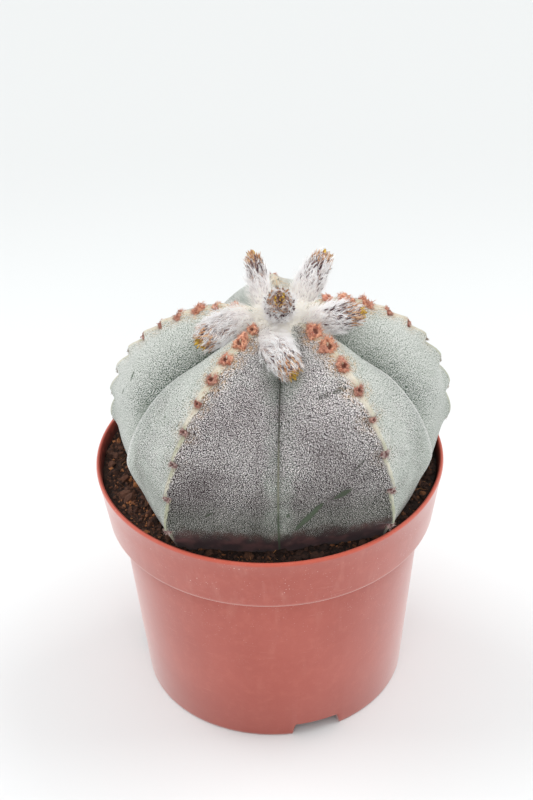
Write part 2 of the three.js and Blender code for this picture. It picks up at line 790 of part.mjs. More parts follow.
addPiece('pot', makePot(), colours.pot, 0.5);
addPiece('soil', largest(makeSoil().subtract(plainRoom)), colours.soil, 0.95);
addPiece('cactus_body', bodySolid, colours.skin, 0.8);
addPiece('crown_wool', woolSolid, colours.wool, 0.95);
buds.forEach((bud, index) => {
  addPiece(`bud_${index + 1}`, budSolids[index], colours.bud, 0.9);
  addPiece(`bud_${index + 1}_petals`, makePetals(bud), colours.petals, 0.6);
});

export default assembly;
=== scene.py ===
import math

import bmesh
import bpy
import numpy as np
from mathutils import Matrix, Vector, noise


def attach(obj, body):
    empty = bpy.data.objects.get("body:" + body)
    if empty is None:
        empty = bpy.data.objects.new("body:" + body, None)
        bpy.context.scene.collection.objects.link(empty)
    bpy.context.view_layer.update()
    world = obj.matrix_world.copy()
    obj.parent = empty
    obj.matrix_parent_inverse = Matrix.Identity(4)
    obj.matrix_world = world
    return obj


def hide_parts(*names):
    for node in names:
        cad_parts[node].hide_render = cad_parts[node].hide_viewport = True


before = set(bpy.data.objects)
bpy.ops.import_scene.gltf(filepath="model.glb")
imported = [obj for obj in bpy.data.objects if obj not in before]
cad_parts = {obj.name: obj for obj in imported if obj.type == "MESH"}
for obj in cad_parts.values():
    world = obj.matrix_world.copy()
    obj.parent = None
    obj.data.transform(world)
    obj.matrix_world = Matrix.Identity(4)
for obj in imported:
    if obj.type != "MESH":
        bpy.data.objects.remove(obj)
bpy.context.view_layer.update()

mm = 0.001
fullTurn = 2 * math.pi
potAxis = np.array([-1.4, 0.0, 0.0])  # where the pot's axis stands, in millimetres


# a method of a wire: one operation on it and another value, in this order or turned round
def operator(operation, turned=False):
    def apply(self, other):
        return self.sum(operation, *((other, self) if turned else (self, other)))

    return apply


# a socket of a node tree, with the sums and products that it takes part in
class Wire:
    __add__, __radd__ = operator("ADD"), operator("ADD", True)
    __sub__, __rsub__ = operator("SUBTRACT"), operator("SUBTRACT", True)
    __mul__, __rmul__ = operator("MULTIPLY"), operator("MULTIPLY", True)
    __pow__, most = operator("POWER"), operator("MAXIMUM")

    def __init__(self, tree, socket):
        self.tree = tree
        self.socket = socket

    def add(self, kind, settings=None, values=None, out=0):
        return addNode(self.tree, kind, settings, values, out)

    # another output of the same node
    def output(self, name):
        return Wire(self.tree, self.socket.node.outputs[name])

    def sum(self, operation, first, second, clamp=False):
        settings = {"operation": operation, "use_clamp": clamp}
        return self.add("ShaderNodeMath", settings, {"Value": first, "Value_001": second})

    def clamped(self):
        return self.sum("ADD", self, 0.0, clamp=True)

    # a value round a half, such as noise, as one round nothing and this wide
    def swing(self, width):
        return (self - 0.5) * width

    # 0 below low, 1 above high, soft between; low may be the larger one
    def ramp(self, low, high):
        values = {"Value": self, "From Min": low, "From Max": high, "To Min": 0.0, "To Max": 1.0}
        return self.add("ShaderNodeMapRange", {"interpolation_type": "SMOOTHSTEP"}, values)

    # this wire is the factor between two colours
    def blend(self, first, second):
        values = {"Factor_Float": self, "A_Color": first, "B_Color": second}
        return self.add("ShaderNodeMix", {"data_type": "RGBA"}, values, 2)

    def parts(self):
        node = self.add("ShaderNodeSeparateXYZ", None, {"Vector": self}).socket.node
        return [Wire(self.tree, socket) for socket in node.outputs]

    def vector(self, operation, values, out=0):
        return self.add("ShaderNodeVectorMath", {"operation": operation}, {"Vector": self, **values}, out)

    def plus(self, other):
        return self.vector("ADD", {"Vector_001": other})

    def minus(self, other):
        return self.vector("SUBTRACT", {"Vector_001": other})

    def times(self, scale):
        return self.vector("SCALE", {"Scale": scale})

    def stretched(self, *scales):
        return self.vector("MULTIPLY", {"Vector_001": scales})

    def noise(self, scale, detail=2.0, rough=0.5, out=0):
        values = {"Vector": self, "Scale": scale, "Detail": detail, "Roughness": rough}
        return self.add("ShaderNodeTexNoise", None, values, out)

    def cells(self, scale):
        return self.add("ShaderNodeTexVoronoi", None, {"Vector": self, "Scale": scale})


def addNode(tree, kind, settings=None, values=None, out=0):
    node = tree.nodes.new(kind)
    for name, value in (settings or {}).items():
        setattr(node, name, value)
    for name, value in (values or {}).items():
        socket = next(s for s in node.inputs if name in (s.identifier, s.name) and s.enabled)
        if isinstance(value, Wire):
            tree.links.new(value.socket, socket)
        else:
            socket.default_value = (*value, 1.0) if socket.type == "RGBA" else value
    return Wire(tree, node.outputs[out])


# a new material, its shader with the uniform values set, and the place in millimetres
def newMaterial(name, uniform):
    material = bpy.data.materials.new(name)
    material.use_nodes = True
    shader = material.node_tree.nodes["Principled BSDF"]
    for socket, value in uniform.items():
        shader.inputs[socket].default_value = value
    return material, shader, addNode(material.node_tree, "ShaderNodeTexCoord", out=3).times(1 / mm)


def feed(shader, **wires):
    names = {"colour": "Base Color", "rough": "Roughness", "normal": "Normal"}
    for name, wire in wires.items():
        wire.tree.links.new(wire.socket, shader.inputs[names[name]])


# colours laid over one another, each where its mask says
def layered(colour, *layers):
    for mask, tone in layers:
        colour = mask.blend(colour, tone)
    return colour


def bump(height, strength, distance):
    values = {"Height": height, "Strength": strength, "Distance": distance}
    return height.add("ShaderNodeBump", None, values)


def attribute(place, name, out=1):
    return place.add("ShaderNodeAttribute", {"attribute_name": name}, None, out)


# a mesh object from points in millimetres, from the plant's drawing
def newPiece(name, points, faces, materials, smooth=True):
    mesh = bpy.data.meshes.new(name)
    places = (np.asarray(points, float) + potAxis) * mm
    mesh.from_pydata(places.tolist(), [], faces)
    mesh.validate()
    mesh.update()
    for material in materials:
        mesh.materials.append(material)
    mesh.polygons.foreach_set("use_smooth", [smooth] * len(mesh.polygons))
    return linked(name, mesh)


def linked(name, data):
    piece = bpy.data.objects.new(name, data)
    bpy.context.scene.collection.objects.link(piece)
    return piece


def faceOutward(piece):
    work = bmesh.new()
    work.from_mesh(piece.data)
    bmesh.ops.remove_doubles(work, verts=work.verts, dist=1e-7)
    bmesh.ops.recalc_face_normals(work, faces=work.faces)
    if work.calc_volume(signed=True) < 0:
        bmesh.ops.reverse_faces(work, faces=work.faces)
    work.to_mesh(piece.data)
    work.free()


# numbers or vectors on a mesh's points, for its material and for what grows on it
def mark(piece, **layers):
    for name, values in layers.items():
        values = np.asarray(values, np.float32)
        kind, key = ("FLOAT", "value") if values.ndim == 1 else ("FLOAT_VECTOR", "vector")
        piece.data.attributes.new(name, kind, "POINT").data.foreach_set(key, values.ravel())


# pieces stand in for a node's solid, and all ride on the one body
def dress(node, finish, *pieces):
    for piece in pieces:
        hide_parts(node)
        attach(piece, "root")


# quads between rings of equally many points, closed at both ends on a single point
def ringFaces(rings, count, first=0):
    def at(ring, side):
        return first + 1 + ring * count + side % count

    faces = []
    last = first + 1 + rings * count
    for side in range(count):
        faces.append((first, at(0, side), at(0, side + 1)))
        faces.append((last, at(rings - 1, side + 1), at(rings - 1, side)))
    for ring in range(rings - 1):
        for side in range(count):
            faces.append((at(ring, side), at(ring + 1, side), at(ring + 1, side + 1), at(ring, side + 1)))
    return faces


# values on such rings, with those of the two single points
def closed(values, first, last):
    return np.concatenate([[first], values.reshape(-1, *values.shape[2:]), [last]])


def unit(vectors):
    return vectors / np.maximum(np.linalg.norm(vectors, axis=-1, keepdims=True), 1e-9)


def mixed(first, second, share):
    return first + (second - first) * share


def smoothStep(value, low, high):
    share = np.clip((value - low) / (high - low), 0, 1)
    return share * share * (3 - 2 * share)


def unevenness(points, size, seed):
    return np.array([noise.noise(Vector((p[0] / size + seed, p[1] / size, p[2] / size))) for p in points])


# camera, floor and light
view = {
    "place": (-0.00183, -0.50320, 0.45461),
    "looksAt": (-0.00183, 0.0, 0.098298),
    "roll": -0.0288,  # radians
    "lens": 93.455,
}


def makeCamera():
    data = bpy.data.cameras.new("camera")
    data.lens = view["lens"]
    camera = linked("camera", data)
    forward = (Vector(view["looksAt"]) - Vector(view["place"])).normalized()
    level = Vector((1, 0, 0))
    over = level.cross(forward)
    right = level * math.cos(view["roll"]) + over * math.sin(view["roll"])
    up = over * math.cos(view["roll"]) - level * math.sin(view["roll"])
    turn = Matrix((right, up, -forward)).transposed().to_4x4()
    camera.matrix_world = Matrix.Translation(view["place"]) @ turn
    bpy.context.scene.camera = camera


studio = {
    "world": 0.75,
    "floor": (0.76, 0.785, 0.79),
    # painted shade: the floor is painted darker further back
    "behind": (0.605, 0.62, 0.62),  # the floor further back, under the lights
    "behindFrom": 40.0, "behindTo": 380.0, "behindWander": 60.0,
    "halfFloor": 4.0,
    "aim": (0, 0, 0.05),
    # place, size and power of each soft light
    "lights": [((-1.9, 0.7, 2.4), 2.2, 44.0), ((1.9, 0.6, 2.4), 2.2, 45.5), ((0.0, -2.2, 2.0), 2.0, 19.0)],
}


def makeStudio():
    scene = bpy.context.scene
    world = bpy.data.worlds.new("studio")
    world.use_nodes = True
    sky = world.node_tree.nodes["Background"]
    sky.inputs["Color"].default_value = (1, 1, 1, 1)
    sky.inputs["Strength"].default_value = studio["world"]
    scene.world = world
    scene.view_settings.view_transform = "Standard"
    for index, (place, size, power) in enumerate(studio["lights"]):
        data = bpy.data.lights.new(f"softLight{index}", "AREA")
        data.size = size
        data.energy = power
        light = linked(data.name, data)
        light.location = place
        light.rotation_euler = (Vector(studio["aim"]) - Vector(place)).to_track_quat("-Z", "Y").to_euler()
    material, shader, place = newMaterial("paleFloor", {"Roughness": 0.6, "Specular IOR Level": 0.2})
    # painted shade: the floor is painted darker further back
    behind = place.parts()[1] + place.noise(0.004, 1) * studio["behindWander"]
    behind = behind.ramp(studio["behindFrom"], studio["behindTo"])
    feed(shader, colour=behind.blend(studio["floor"], studio["behind"]))
    mesh = bpy.data.meshes.new("floor")
    half = studio["halfFloor"]
    corners = [(-half, -half, 0), (half, -half, 0), (half, half, 0), (-half, half, 0)]
    mesh.from_pydata(corners, [], [(0, 1, 2, 3)])
    mesh.materials.append(material)
    linked("floor", mesh)


makeCamera()
makeStudio()
print("camera and studio")


# growing things on a surface: every tree takes the surface, its own sizes, a seed and a finish
def newTree(name, *sizes):
    tree = bpy.data.node_groups.new(name, "GeometryNodeTree")
    tree.interface.new_socket(name="Geometry", in_out="OUTPUT", socket_type="NodeSocketGeometry")
    inputs = [("Geometry", "Geometry"), *((size, "Float") for size in sizes)]
    inputs += [("Seed", "Int"), ("Finish", "Material")]
    for title, kind in inputs:
        tree.interface.new_socket(name=title, in_out="INPUT", socket_type="NodeSocket" + kind)
    source = tree.nodes.new("NodeGroupInput")
    return tree, {socket.name: Wire(tree, socket) for socket in source.outputs if socket.name}


def endTree(wire, finish):
    whole = realized(wire)
    done = whole.add("GeometryNodeSetMaterial", None, {"Geometry": whole, "Material": finish})
    goal = wire.tree.nodes.new("NodeGroupOutput")
    wire.tree.links.new(done.socket, goal.inputs[0])
    return wire.tree


def realized(wire):
    return wire.add("GeometryNodeRealizeInstances", None, {"Geometry": wire})


def named(tree, name, kind="FLOAT_VECTOR"):
    return addNode(tree, "GeometryNodeInputNamedAttribute", {"data_type": kind}, {"Name": name})


def keep(geometry, name, value, kind="FLOAT"):
    values = {"Geometry": geometry, "Name": name, "Value": value}
    return geometry.add("GeometryNodeStoreNamedAttribute", {"data_type": kind, "domain": "POINT"}, values)


# each draw adds its own step to the seed
def randomVector(given, step):
    values = {"Min": (-1, -1, -1), "Max": (1, 1, 1), "Seed": given["Seed"] + step}
    return given["Seed"].add("FunctionNodeRandomValue", {"data_type": "FLOAT_VECTOR"}, values)


def randomBetween(given, low, high, step):
    values = {"Min_001": low, "Max_001": high, "Seed": given["Seed"] + step}
    return given["Seed"].add("FunctionNodeRandomValue", {"data_type": "FLOAT"}, values, 1)


def scattered(given, density, step):
    values = {"Mesh": given["Geometry"], "Density": density, "Seed": given["Seed"] + step}
    return given["Geometry"].add("GeometryNodeDistributePointsOnFaces", None, values)


def aligned(aim, axis):
    return aim.add("FunctionNodeAlignRotationToVector", {"axis": axis}, {"Vector": aim})


def copiesOn(points, shape, turn, sizes):
    x, y, z = sizes
    size = points.add("ShaderNodeCombineXYZ", None, {"X": x, "Y": y, "Z": z})
    values = {"Points": points, "Instance": shape, "Rotation": turn, "Scale": size}
    return points.add("GeometryNodeInstanceOnPoints", None, values)


def shifted(geometry, offset):
    return geometry.add("GeometryNodeSetPosition", None, {"Geometry": geometry, "Offset": offset})


# fine hairs on a surface: each leans from the surface's normal to its "flow", waves, and draws
# towards the middle of its tuft
def makeHairTree():
    tree, given = newTree(
        "growHairs", "Density", "Length", "Thickness", "Lay", "Rise", "Spread", "Wave", "Wave Size",
        "Bend", "Tufts", "Tuft Pull", "Tuft Spread",
    )
    points = scattered(given, given["Density"] * named(tree, "thick", "FLOAT"), 0.0)
    normal = points.output("Normal")
    tufts = scattered(given, given["Tufts"], 31.0)
    nearest = addNode(tree, "GeometryNodeSampleNearest", {"domain": "POINT"}, {"Geometry": tufts})
    place = addNode(tree, "GeometryNodeInputPosition")

    def fromTuft(field, kind="FLOAT_VECTOR"):
        values = {"Geometry": tufts, "Value": field, "Index": nearest}
        return addNode(tree, "GeometryNodeSampleIndex", {"data_type": kind, "domain": "POINT"}, values)

    seeded = keep(points, "rise", normal, "FLOAT_VECTOR")
    seeded = keep(seeded, "toTuft", fromTuft(place).minus(place), "FLOAT_VECTOR")
    aim = named(tree, "flow").times(given["Lay"]).plus(normal.times(given["Rise"]))
    aim = aim.plus(randomVector(given, 3.0).times(given["Spread"]))
    aim = aim.plus(fromTuft(randomVector(given, 37.0)).times(given["Tuft Spread"]))
    long = randomBetween(given, 0.6, 1.15, 7.0) * given["Length"] * named(tree, "long", "FLOAT")
    long = long * fromTuft(randomBetween(given, 0.72, 1.15, 41.0), "FLOAT")
    values = {"Start": (0, 0, 0), "End": (0, 0, 1)}
    line = addNode(tree, "GeometryNodeCurvePrimitiveLine", {"mode": "POINTS"}, values)
    line = line.add("GeometryNodeResampleCurve", None, {"Curve": line, "Count": 6})
    hairs = realized(copiesOn(seeded, line, aligned(aim, "Z"), (long, long, long)))
    along = addNode(tree, "GeometryNodeSplineParameter")
    waves = place.noise(given["Wave Size"], 1.5, out=1).minus((0.5, 0.5, 0.5))
    sway = waves.times(given["Wave"] * along ** 1.2)
    lean = named(tree, "flow").minus(named(tree, "rise").times(0.7))
    lean = lean.times(given["Bend"] * along * along)
    drawn = named(tree, "toTuft").times(given["Tuft Pull"] * along ** 1.4)
    hairs = keep(shifted(hairs, sway.plus(lean).plus(drawn)), "tipShare", along)
    values = {"Resolution": 3, "Radius": 1.0}
    ring = addNode(tree, "GeometryNodeCurvePrimitiveCircle", {"mode": "RADIUS"}, values)
    width = given["Thickness"] * (1.0 - along * along * 0.85)
    values = {"Curve": hairs, "Profile Curve": ring, "Scale": width, "Fill Caps": True}
    return endTree(addNode(tree, "GeometryNodeCurveToMesh", None, values), given["Finish"])


# the evaluated result of a tree on an object, as a plain piece of its own
def grown(tree, source, name, values):
    modifier = source.modifiers.new("grow", "NODES")
    modifier.node_group = tree
    for item in tree.interface.items_tree:
        if item.in_out == "INPUT" and item.name in values:
            modifier[item.identifier] = values[item.name]
    mesh = evaluated(source)
    source.modifiers.remove(modifier)
    mesh.name = name
    return linked(name, mesh)


def evaluated(piece):
    bpy.context.view_layer.update()
    return bpy.data.meshes.new_from_object(piece.evaluated_get(bpy.context.evaluated_depsgraph_get()))


# many copies of one small shape on marked points: its Y axis along "flow", its Z axis along "rise"
def makeSeatTree(shape):
    tree, given = newTree("seatShapes", "Size", "Uneven")
    turn = aligned(named(tree, "flow").plus(randomVector(given, 0.0).times(given["Uneven"])), "Y")
    values = {"Rotation": turn, "Vector": named(tree, "rise")}
    turn = turn.add("FunctionNodeAlignRotationToVector", {"axis": "Z", "pivot_axis": "Y"}, values)
    size = randomBetween(given, 0.8, 1.2, 5.0) * given["Size"] * named(tree, "long", "FLOAT")
    copy = addNode(tree, "GeometryNodeObjectInfo", None, {"Object": shape, "As Instance": True}, 4)
    return endTree(copiesOn(given["Geometry"], copy, turn, (size, size, size)), given["Finish"])


# lumpy crumbs scattered on a surface, each with its own shade
def makeCrumbTree():
    tree, given = newTree("scatterCrumbs", "Density", "Size")
    points = scattered(given, given["Density"] * named(tree, "thick", "FLOAT"), 0.0)
    points = keep(points, "shade", randomBetween(given, 0.0, 1.0, 11.0))
    small = randomBetween(given, 0.0, 1.0, 13.0)
    size = given["Size"] * (0.35 + small * small * small * 1.3)
    x, z = randomVector(given, 17.0).parts()[::2]
    sizes = (size * (1.0 + x * 0.4), size, size * (0.8 + z * 0.3))
    ball = addNode(tree, "GeometryNodeMeshIcoSphere", None, {"Radius": 0.5, "Subdivisions": 1})
    crumbs = realized(copiesOn(points, ball, aligned(randomVector(given, 19.0), "X"), sizes))
    rough = addNode(tree, "GeometryNodeInputPosition").noise(1400.0, 1.0, out=1).minus((0.5, 0.5, 0.5))
    return endTree(shifted(crumbs, rough.times(given["Size"] * 0.9)), given["Finish"])


hairTree = makeHairTree()
crumbTree = makeCrumbTree()


# the pot
pot = {
    "height": 78.6, "rim": 52.5, "bandHeight": 17.9, "bandFoot": 49.7, "shoulder": 46.1, "foot": 40.2,
    "wall": 1.2, "footLift": 4.7, "notches": 3, "notchAt": 17.7, "notchWidth": 14.5, "notchHeight": 4.3,
    "notchTaper": 1.0, "holes": 6, "hole": 3.6, "holeRing": 27, "holeTurn": 30, "holeMiddle": 5.3,
    "sides": 240, "sharp": math.radians(38),
    "wobble": 0.12, "ripple": 0.05,  # a thin moulding is never quite round
}
bandFoot = pot["height"] - pot["bandHeight"]


def wallRadius(height):
    return pot["foot"] + height * (pot["shoulder"] - pot["foot"]) / bandFoot


def collarRadius(height):
    return pot["bandFoot"] + (height - bandFoot) * (pot["rim"] - pot["bandFoot"]) / pot["bandHeight"]


def direction(azimuth):
    return np.array([math.sin(azimuth), -math.cos(azimuth)])


def potMaterial():
    material, shader, place = newMaterial("pottedPlastic", {
        "Specular IOR Level": 0.5, "Sheen Weight": 0.62, "Sheen Roughness": 0.44,
    })
    x, y, z = place.parts()
    mottle = place.noise(0.35, 3, 0.6)
    base = place.noise(0.035, 4, 0.6).ramp(0.35, 0.68).blend((0.385, 0.060, 0.035), (0.425, 0.076, 0.048))
    # a thin bloom of dried water over the wall, in upright streaks, thicker under the collar
    streaks = place.stretched(1.0, 1.0, 0.22).noise(0.3, 3, 0.6).ramp(0.5, 0.78)
    bloom = streaks * (0.2 + 0.5 * z.ramp(42.0, 60.0)) * 0.28
    # white lime specks, the larger ones mostly on the collar
    dots = (1 - place.cells(1.3).ramp(0.10, 0.20)) * place.noise(0.3, 1).ramp(0.48, 0.62)
    chance = place.noise(0.16, 1).ramp(0.52, 0.66) * z.ramp(57.0, 63.0)
    specks = (1 - place.cells(0.75).ramp(0.08, 0.17)) * place.noise(2.2, 1).ramp(0.5, 0.58) * chance
    specks = specks.most(dots * z.ramp(20.0, 50.0) * 0.45)
    # scuffs: short fine level scratches
    scratch = place.stretched(0.12, 0.12, 2.6).noise(1.0, 2, 0.5).ramp(0.66, 0.72)
    scratch = scratch * place.noise(0.09, 1).ramp(0.5, 0.62)
    # a pale line along the collar's lower edge: a painted highlight
    edge = z.ramp(60.2, 60.7) * (1 - z.ramp(61.0, 61.6))
    colour = layered(
        base,
        (mottle.ramp(0.45, 0.75) * 0.22, (0.55, 0.150, 0.107)),
        (bloom, (0.60, 0.27, 0.22)),
        (specks * 0.75, (0.78, 0.62, 0.56)),
        (scratch * 0.3, (0.66, 0.30, 0.24)),
        (z.ramp(77.0, 78.3) * 0.5, (0.66, 0.100, 0.048)),  # the thin lip lets light through
        (edge * 0.15, (0.68, 0.30, 0.24)),  # painted highlight along the lower edge of the collar
        (z.ramp(26.0, 1.0) * 0.4, (0.30, 0.060, 0.042)),  # painted shade: darker towards the foot
    )
    rough = 0.40 + mottle * 0.12 + bloom * 0.4 + scratch * 0.15
    height = place.noise(1.6, 3, 0.6) + place.noise(0.12, 1) * 2.0 + scratch * 0.5
    feed(shader, colour=colour, rough=rough, normal=bump(height, 0.12, 0.0002))
    # the inner wall has no bloom, and above the soil it is painted dark brown: soil dust and painted shade
    # inside the rim
    dustAndShade = (z + mottle.swing(2.4)).ramp(78.2, 75.6)
    dustAndShadeTone = mottle.ramp(0.35, 0.65).blend((0.075, 0.020, 0.015), (0.13, 0.030, 0.021))
    inside = place.add("ShaderNodeBsdfPrincipled", None, {"Specular IOR Level": 0.3})
    innerDustAndShade = (dustAndShade * 0.9).blend((0.30, 0.050, 0.032), dustAndShadeTone)
    feed(inside.socket.node, colour=innerDustAndShade, rough=0.6 + dustAndShade * 0.3)
    radius = ((x - potAxis[0]) ** 2.0 + y * y) ** 0.5
    slope = (pot["rim"] - pot["bandFoot"]) / pot["bandHeight"]
    depth = (z - bandFoot) * slope + pot["bandFoot"] - radius
    mask = depth.ramp(0.5, 0.9) * z.ramp(67.0, 69.0)
    values = {"Fac": mask, "Shader": Wire(place.tree, shader.outputs[0]), "Shader_001": inside}
    both = place.add("ShaderNodeMixShader", None, values)
    place.tree.links.new(both.socket, place.tree.nodes["Material Output"].inputs["Surface"])
    return material


# the wall's section, from the middle of the underside out and up, over the lip and down inside
def potProfile():
    rim, top, wall, foot, shoulder = (pot[key] for key in ("rim", "height", "wall", "bandFoot", "shoulder"))
    floorTop = pot["footLift"] + wall
    under = [
        (30, 4.7), (38.6, 4.7), (38.9, 4.4), (38.6, 0.3), (38.75, 0.05), (39.0, 0), (39.8, 0), (40.0, 0.08),
    ]
    outside = [(wallRadius(z), z) for z in (0.5, 1.2, 4.3, 20, 40, bandFoot - 3.0, bandFoot - 2.4)]
    step = [
        (wallRadius(bandFoot) + 0.12, bandFoot - 1.7), (shoulder + 0.75, bandFoot - 1.0),
        (shoulder + 1.7, bandFoot - 0.62), (foot - 0.7, bandFoot - 0.45),
        (foot - 0.25, bandFoot - 0.3), (foot + 0.02, bandFoot + 0.1),
    ]
    collar = [(collarRadius(z), z) for z in (bandFoot + 0.6, 66, 72, top - 1.8)]
    lip = [
        (rim - 0.06, top - 1.1), (rim, top - 0.7), (rim - 0.06, top - 0.3), (rim - 0.28, top - 0.05),
        (rim - 0.6, top), (rim - 0.95, top - 0.06), (rim - wall + 0.02, top - 0.35),
        (rim - wall - 0.05, top - 0.9),
    ]
    inside = [(collarRadius(z) - wall, z) for z in (top - 3, 70, bandFoot + 3, bandFoot + 2)]
    inside += [(foot - wall - 0.5, bandFoot + 0.9), (shoulder - wall + 0.3, bandFoot + 0.3)]
    inside += [(wallRadius(z) - wall, z) for z in (bandFoot - 1, 30, floorTop + 0.6)]
    inside += [(wallRadius(floorTop) - wall - 0.5, floorTop), (30, floorTop)]
    return under + outside + step + collar + lip + inside, floorTop


def makePot():
    profile, floorTop = potProfile()
    turns = list(np.linspace(0, fullTurn, pot["sides"], endpoint=False))
    notchAngles = [math.radians(pot["notchAt"] + 360 * k / pot["notches"]) for k in range(pot["notches"])]
    outer = (pot["notchWidth"] + pot["notchTaper"]) / 2 / pot["foot"]
    inner = (pot["notchWidth"] - pot["notchTaper"]) / 2 / pot["foot"]
    # the notches' edges take the place of the turns next to them
    for middle in notchAngles:
        for offset in (-outer, -inner, inner, outer):
            at = (middle + offset) % fullTurn
            turns = [turn for turn in turns if abs(turn - at) > math.pi / pot["sides"] * 0.8] + [at]
    turns = sorted(turns)
    points = [(0, 0, pot["footLift"])]
    for radius, height in profile:
        for turn in turns:
            off = min(abs((turn - m + math.pi) % fullTurn - math.pi) for m in notchAngles)
            cut = off < inner + 1e-6 and radius > 38
            share = smoothStep(height, 10, 70)
            out = radius + pot["wobble"] * share * math.sin(2 * turn + 0.7)
            x, y = direction(turn) * (out + pot["ripple"] * share * math.sin(5 * turn))
            points.append((x, y, max(height, pot["notchHeight"]) if cut else height))
    points.append((0, 0, floorTop))
    piece = newPiece("potWall", points, ringFaces(len(profile), len(turns)), [potMaterial()])
    faceOutward(piece)
    drills = []
    for k in range(pot["holes"]):
        azimuth = math.radians(pot["notchAt"] + pot["holeTurn"] + 360 * k / pot["holes"])
        x, y = direction(azimuth) * pot["holeRing"]
        place = ((x + potAxis[0]) * mm, y * mm, pot["holeMiddle"] * mm)
        radius, depth = pot["hole"] * mm, 5 * mm
        bpy.ops.mesh.primitive_cylinder_add(vertices=40, radius=radius, depth=depth, location=place)
        drills.append(bpy.context.object)
    for drill in drills:
        cut = piece.modifiers.new("cut", "BOOLEAN")
        cut.object = drill
        cut.solver = "EXACT"
    mesh = evaluated(piece)
    piece.modifiers.clear()
    piece.data = mesh
    for drill in drills:
        bpy.data.objects.remove(drill)
    faceOutward(piece)
    piece.data.set_sharp_from_angle(angle=pot["sharp"])
    dress("pot", "pot_plastic", piece)


makePot()
print("pot")


# the plant's form
plant = {
    "x": 4.95, "y": -1.16, "equator": 88.2, "crestRadius": 51.5, "crestRise": 43.85, "crestPower": 2.035,
    "crestDrop": 33.4, "valleyRadius": 45.0, "valleyRise": 36.5, "valleyPower": 1.73, "valleyDrop": 34.1,
    "crown": 125.4, "crownSpread": 7, "buried": math.radians(140), "bulgeTop": 6.9, "bulgeMiddle": 0.7,
    "bulgeLow": 0.95, "skewTop": -0.13, "skewLow": 0.47, "frontShift": -2.7,
    "fold": 2.5,
    "across": 28,  # columns from a crest to a valley
    # heights and the radii that the pot leaves at them, and how fast it widens above
    "heldHeights": (76.5, 79.4), "heldRadii": (49.4, 50.7), "heldSlope": 1.6,
}
plantPlace = np.array([plant["x"], plant["y"], 0.0])
# azimuth in degrees, size, lift, arc to the first areole, growth of the steps
ribs = [
    (-105.5, 1.044, -0.3, 14.9, 1.07), (-39.4, 1.055, 0, 14.2, 1.1), (37.1, 0.949, 0, 15.0, 1.125),
    (103.5, 0.986, 1.6, 14.0, 1.1), (184.6, 0.992, -1.4, 14.2, 1.1),
]
crown = {
    "step": 4.5, "perRib": 9, "peak": 0.86, "height": 2.35, "notch": 0.85, "width": 0.17,
    "rows": 13, "fall": ((0.89, 0.86), (0.92, 0.5), (0.96, 0.14)),  # rows up to a peak, and after it
    "topRows": 10, "lowRows": 10,
    "fadeHeights": (79, 84), "fadeRadii": (6, 12),  # no teeth in the soil and at the crown
}
frontValley = 1


def profileAt(angle, radius, rise, power, drop):
    sine, cosine = np.sin(angle), np.cos(angle)
    over = cosine >= 0
    out = np.where(over, radius * np.abs(sine) ** (2 / power), radius * sine)
    return out, plant["equator"] + np.where(over, rise * np.abs(cosine) ** (2 / power), drop * cosine)


def crestAt(angle, rib):
    rise = plant["crestRise"] + rib[2]
    return profileAt(angle, plant["crestRadius"] * rib[1], rise, plant["crestPower"], plant["crestDrop"])


def sunken(radius, height, top):
    return height - (top - plant["crown"]) * np.exp(-((radius / plant["crownSpread"]) ** 2))


def arcTable(rib):
    angles = np.linspace(0, plant["buried"], 561)
    radius, height = crestAt(angles, rib)
    steps = np.hypot(np.diff(radius), np.diff(height))
    return angles, np.concatenate([[0], np.cumsum(steps)])


def areoleArcs(rib):
    arcs = [rib[3]]
    for k in range(crown["perRib"]):
        arcs.append(arcs[-1] * rib[4] + crown["step"])
    return arcs


# the angle from the top and the stand of the teeth, at each row of the skin
def skinRows(rib):
    angles, table = arcTable(rib)
    arcs = areoleArcs(rib)
    peak = crown["peak"]
    rising = np.linspace(0, peak, crown["rows"])
    parts = np.concatenate([rising, [part for part, stand in crown["fall"]]])
    stand = np.sin(np.minimum(parts / peak, 1) * math.pi / 2) ** 1.15
    stand[crown["rows"]:] = [stand for part, stand in crown["fall"]]
    walked = [np.linspace(0, arcs[0], crown["topRows"] + 2)[1:-1]]
    stands = [np.zeros(crown["topRows"])]
    for k in range(crown["perRib"]):
        count = crown["rows"] if k == crown["perRib"] - 1 else len(parts)
        walked.append(mixed(arcs[k], arcs[k + 1], parts[:count]))
        stands.append(stand[:count])
    reached = np.interp(np.concatenate(walked), table, angles)
    low = mixed(reached[-1], plant["buried"], np.linspace(0, 1, crown["lowRows"] + 1)[1:])
    return np.concatenate([reached, low]), np.concatenate(stands + [np.zeros(crown["lowRows"])])


rowsOf = [skinRows(rib) for rib in ribs]


# the skin is held in below the soil's top, clear of the pot's wall
def heldIn(point):
    radius = np.hypot(point[..., 0], point[..., 1])
    height = point[..., 2]
    limit = np.interp(height, plant["heldHeights"], plant["heldRadii"])
    limit = limit + np.maximum(height - plant["heldHeights"][1], 0) * plant["heldSlope"]
    share = np.minimum(1, limit / np.maximum(radius, 1e-6))
    point[..., 0] *= share
    point[..., 1] *= share
    return point


def standing(radius, turn, height):
    return np.stack([radius * math.sin(turn), -radius * math.cos(turn), height], -1)


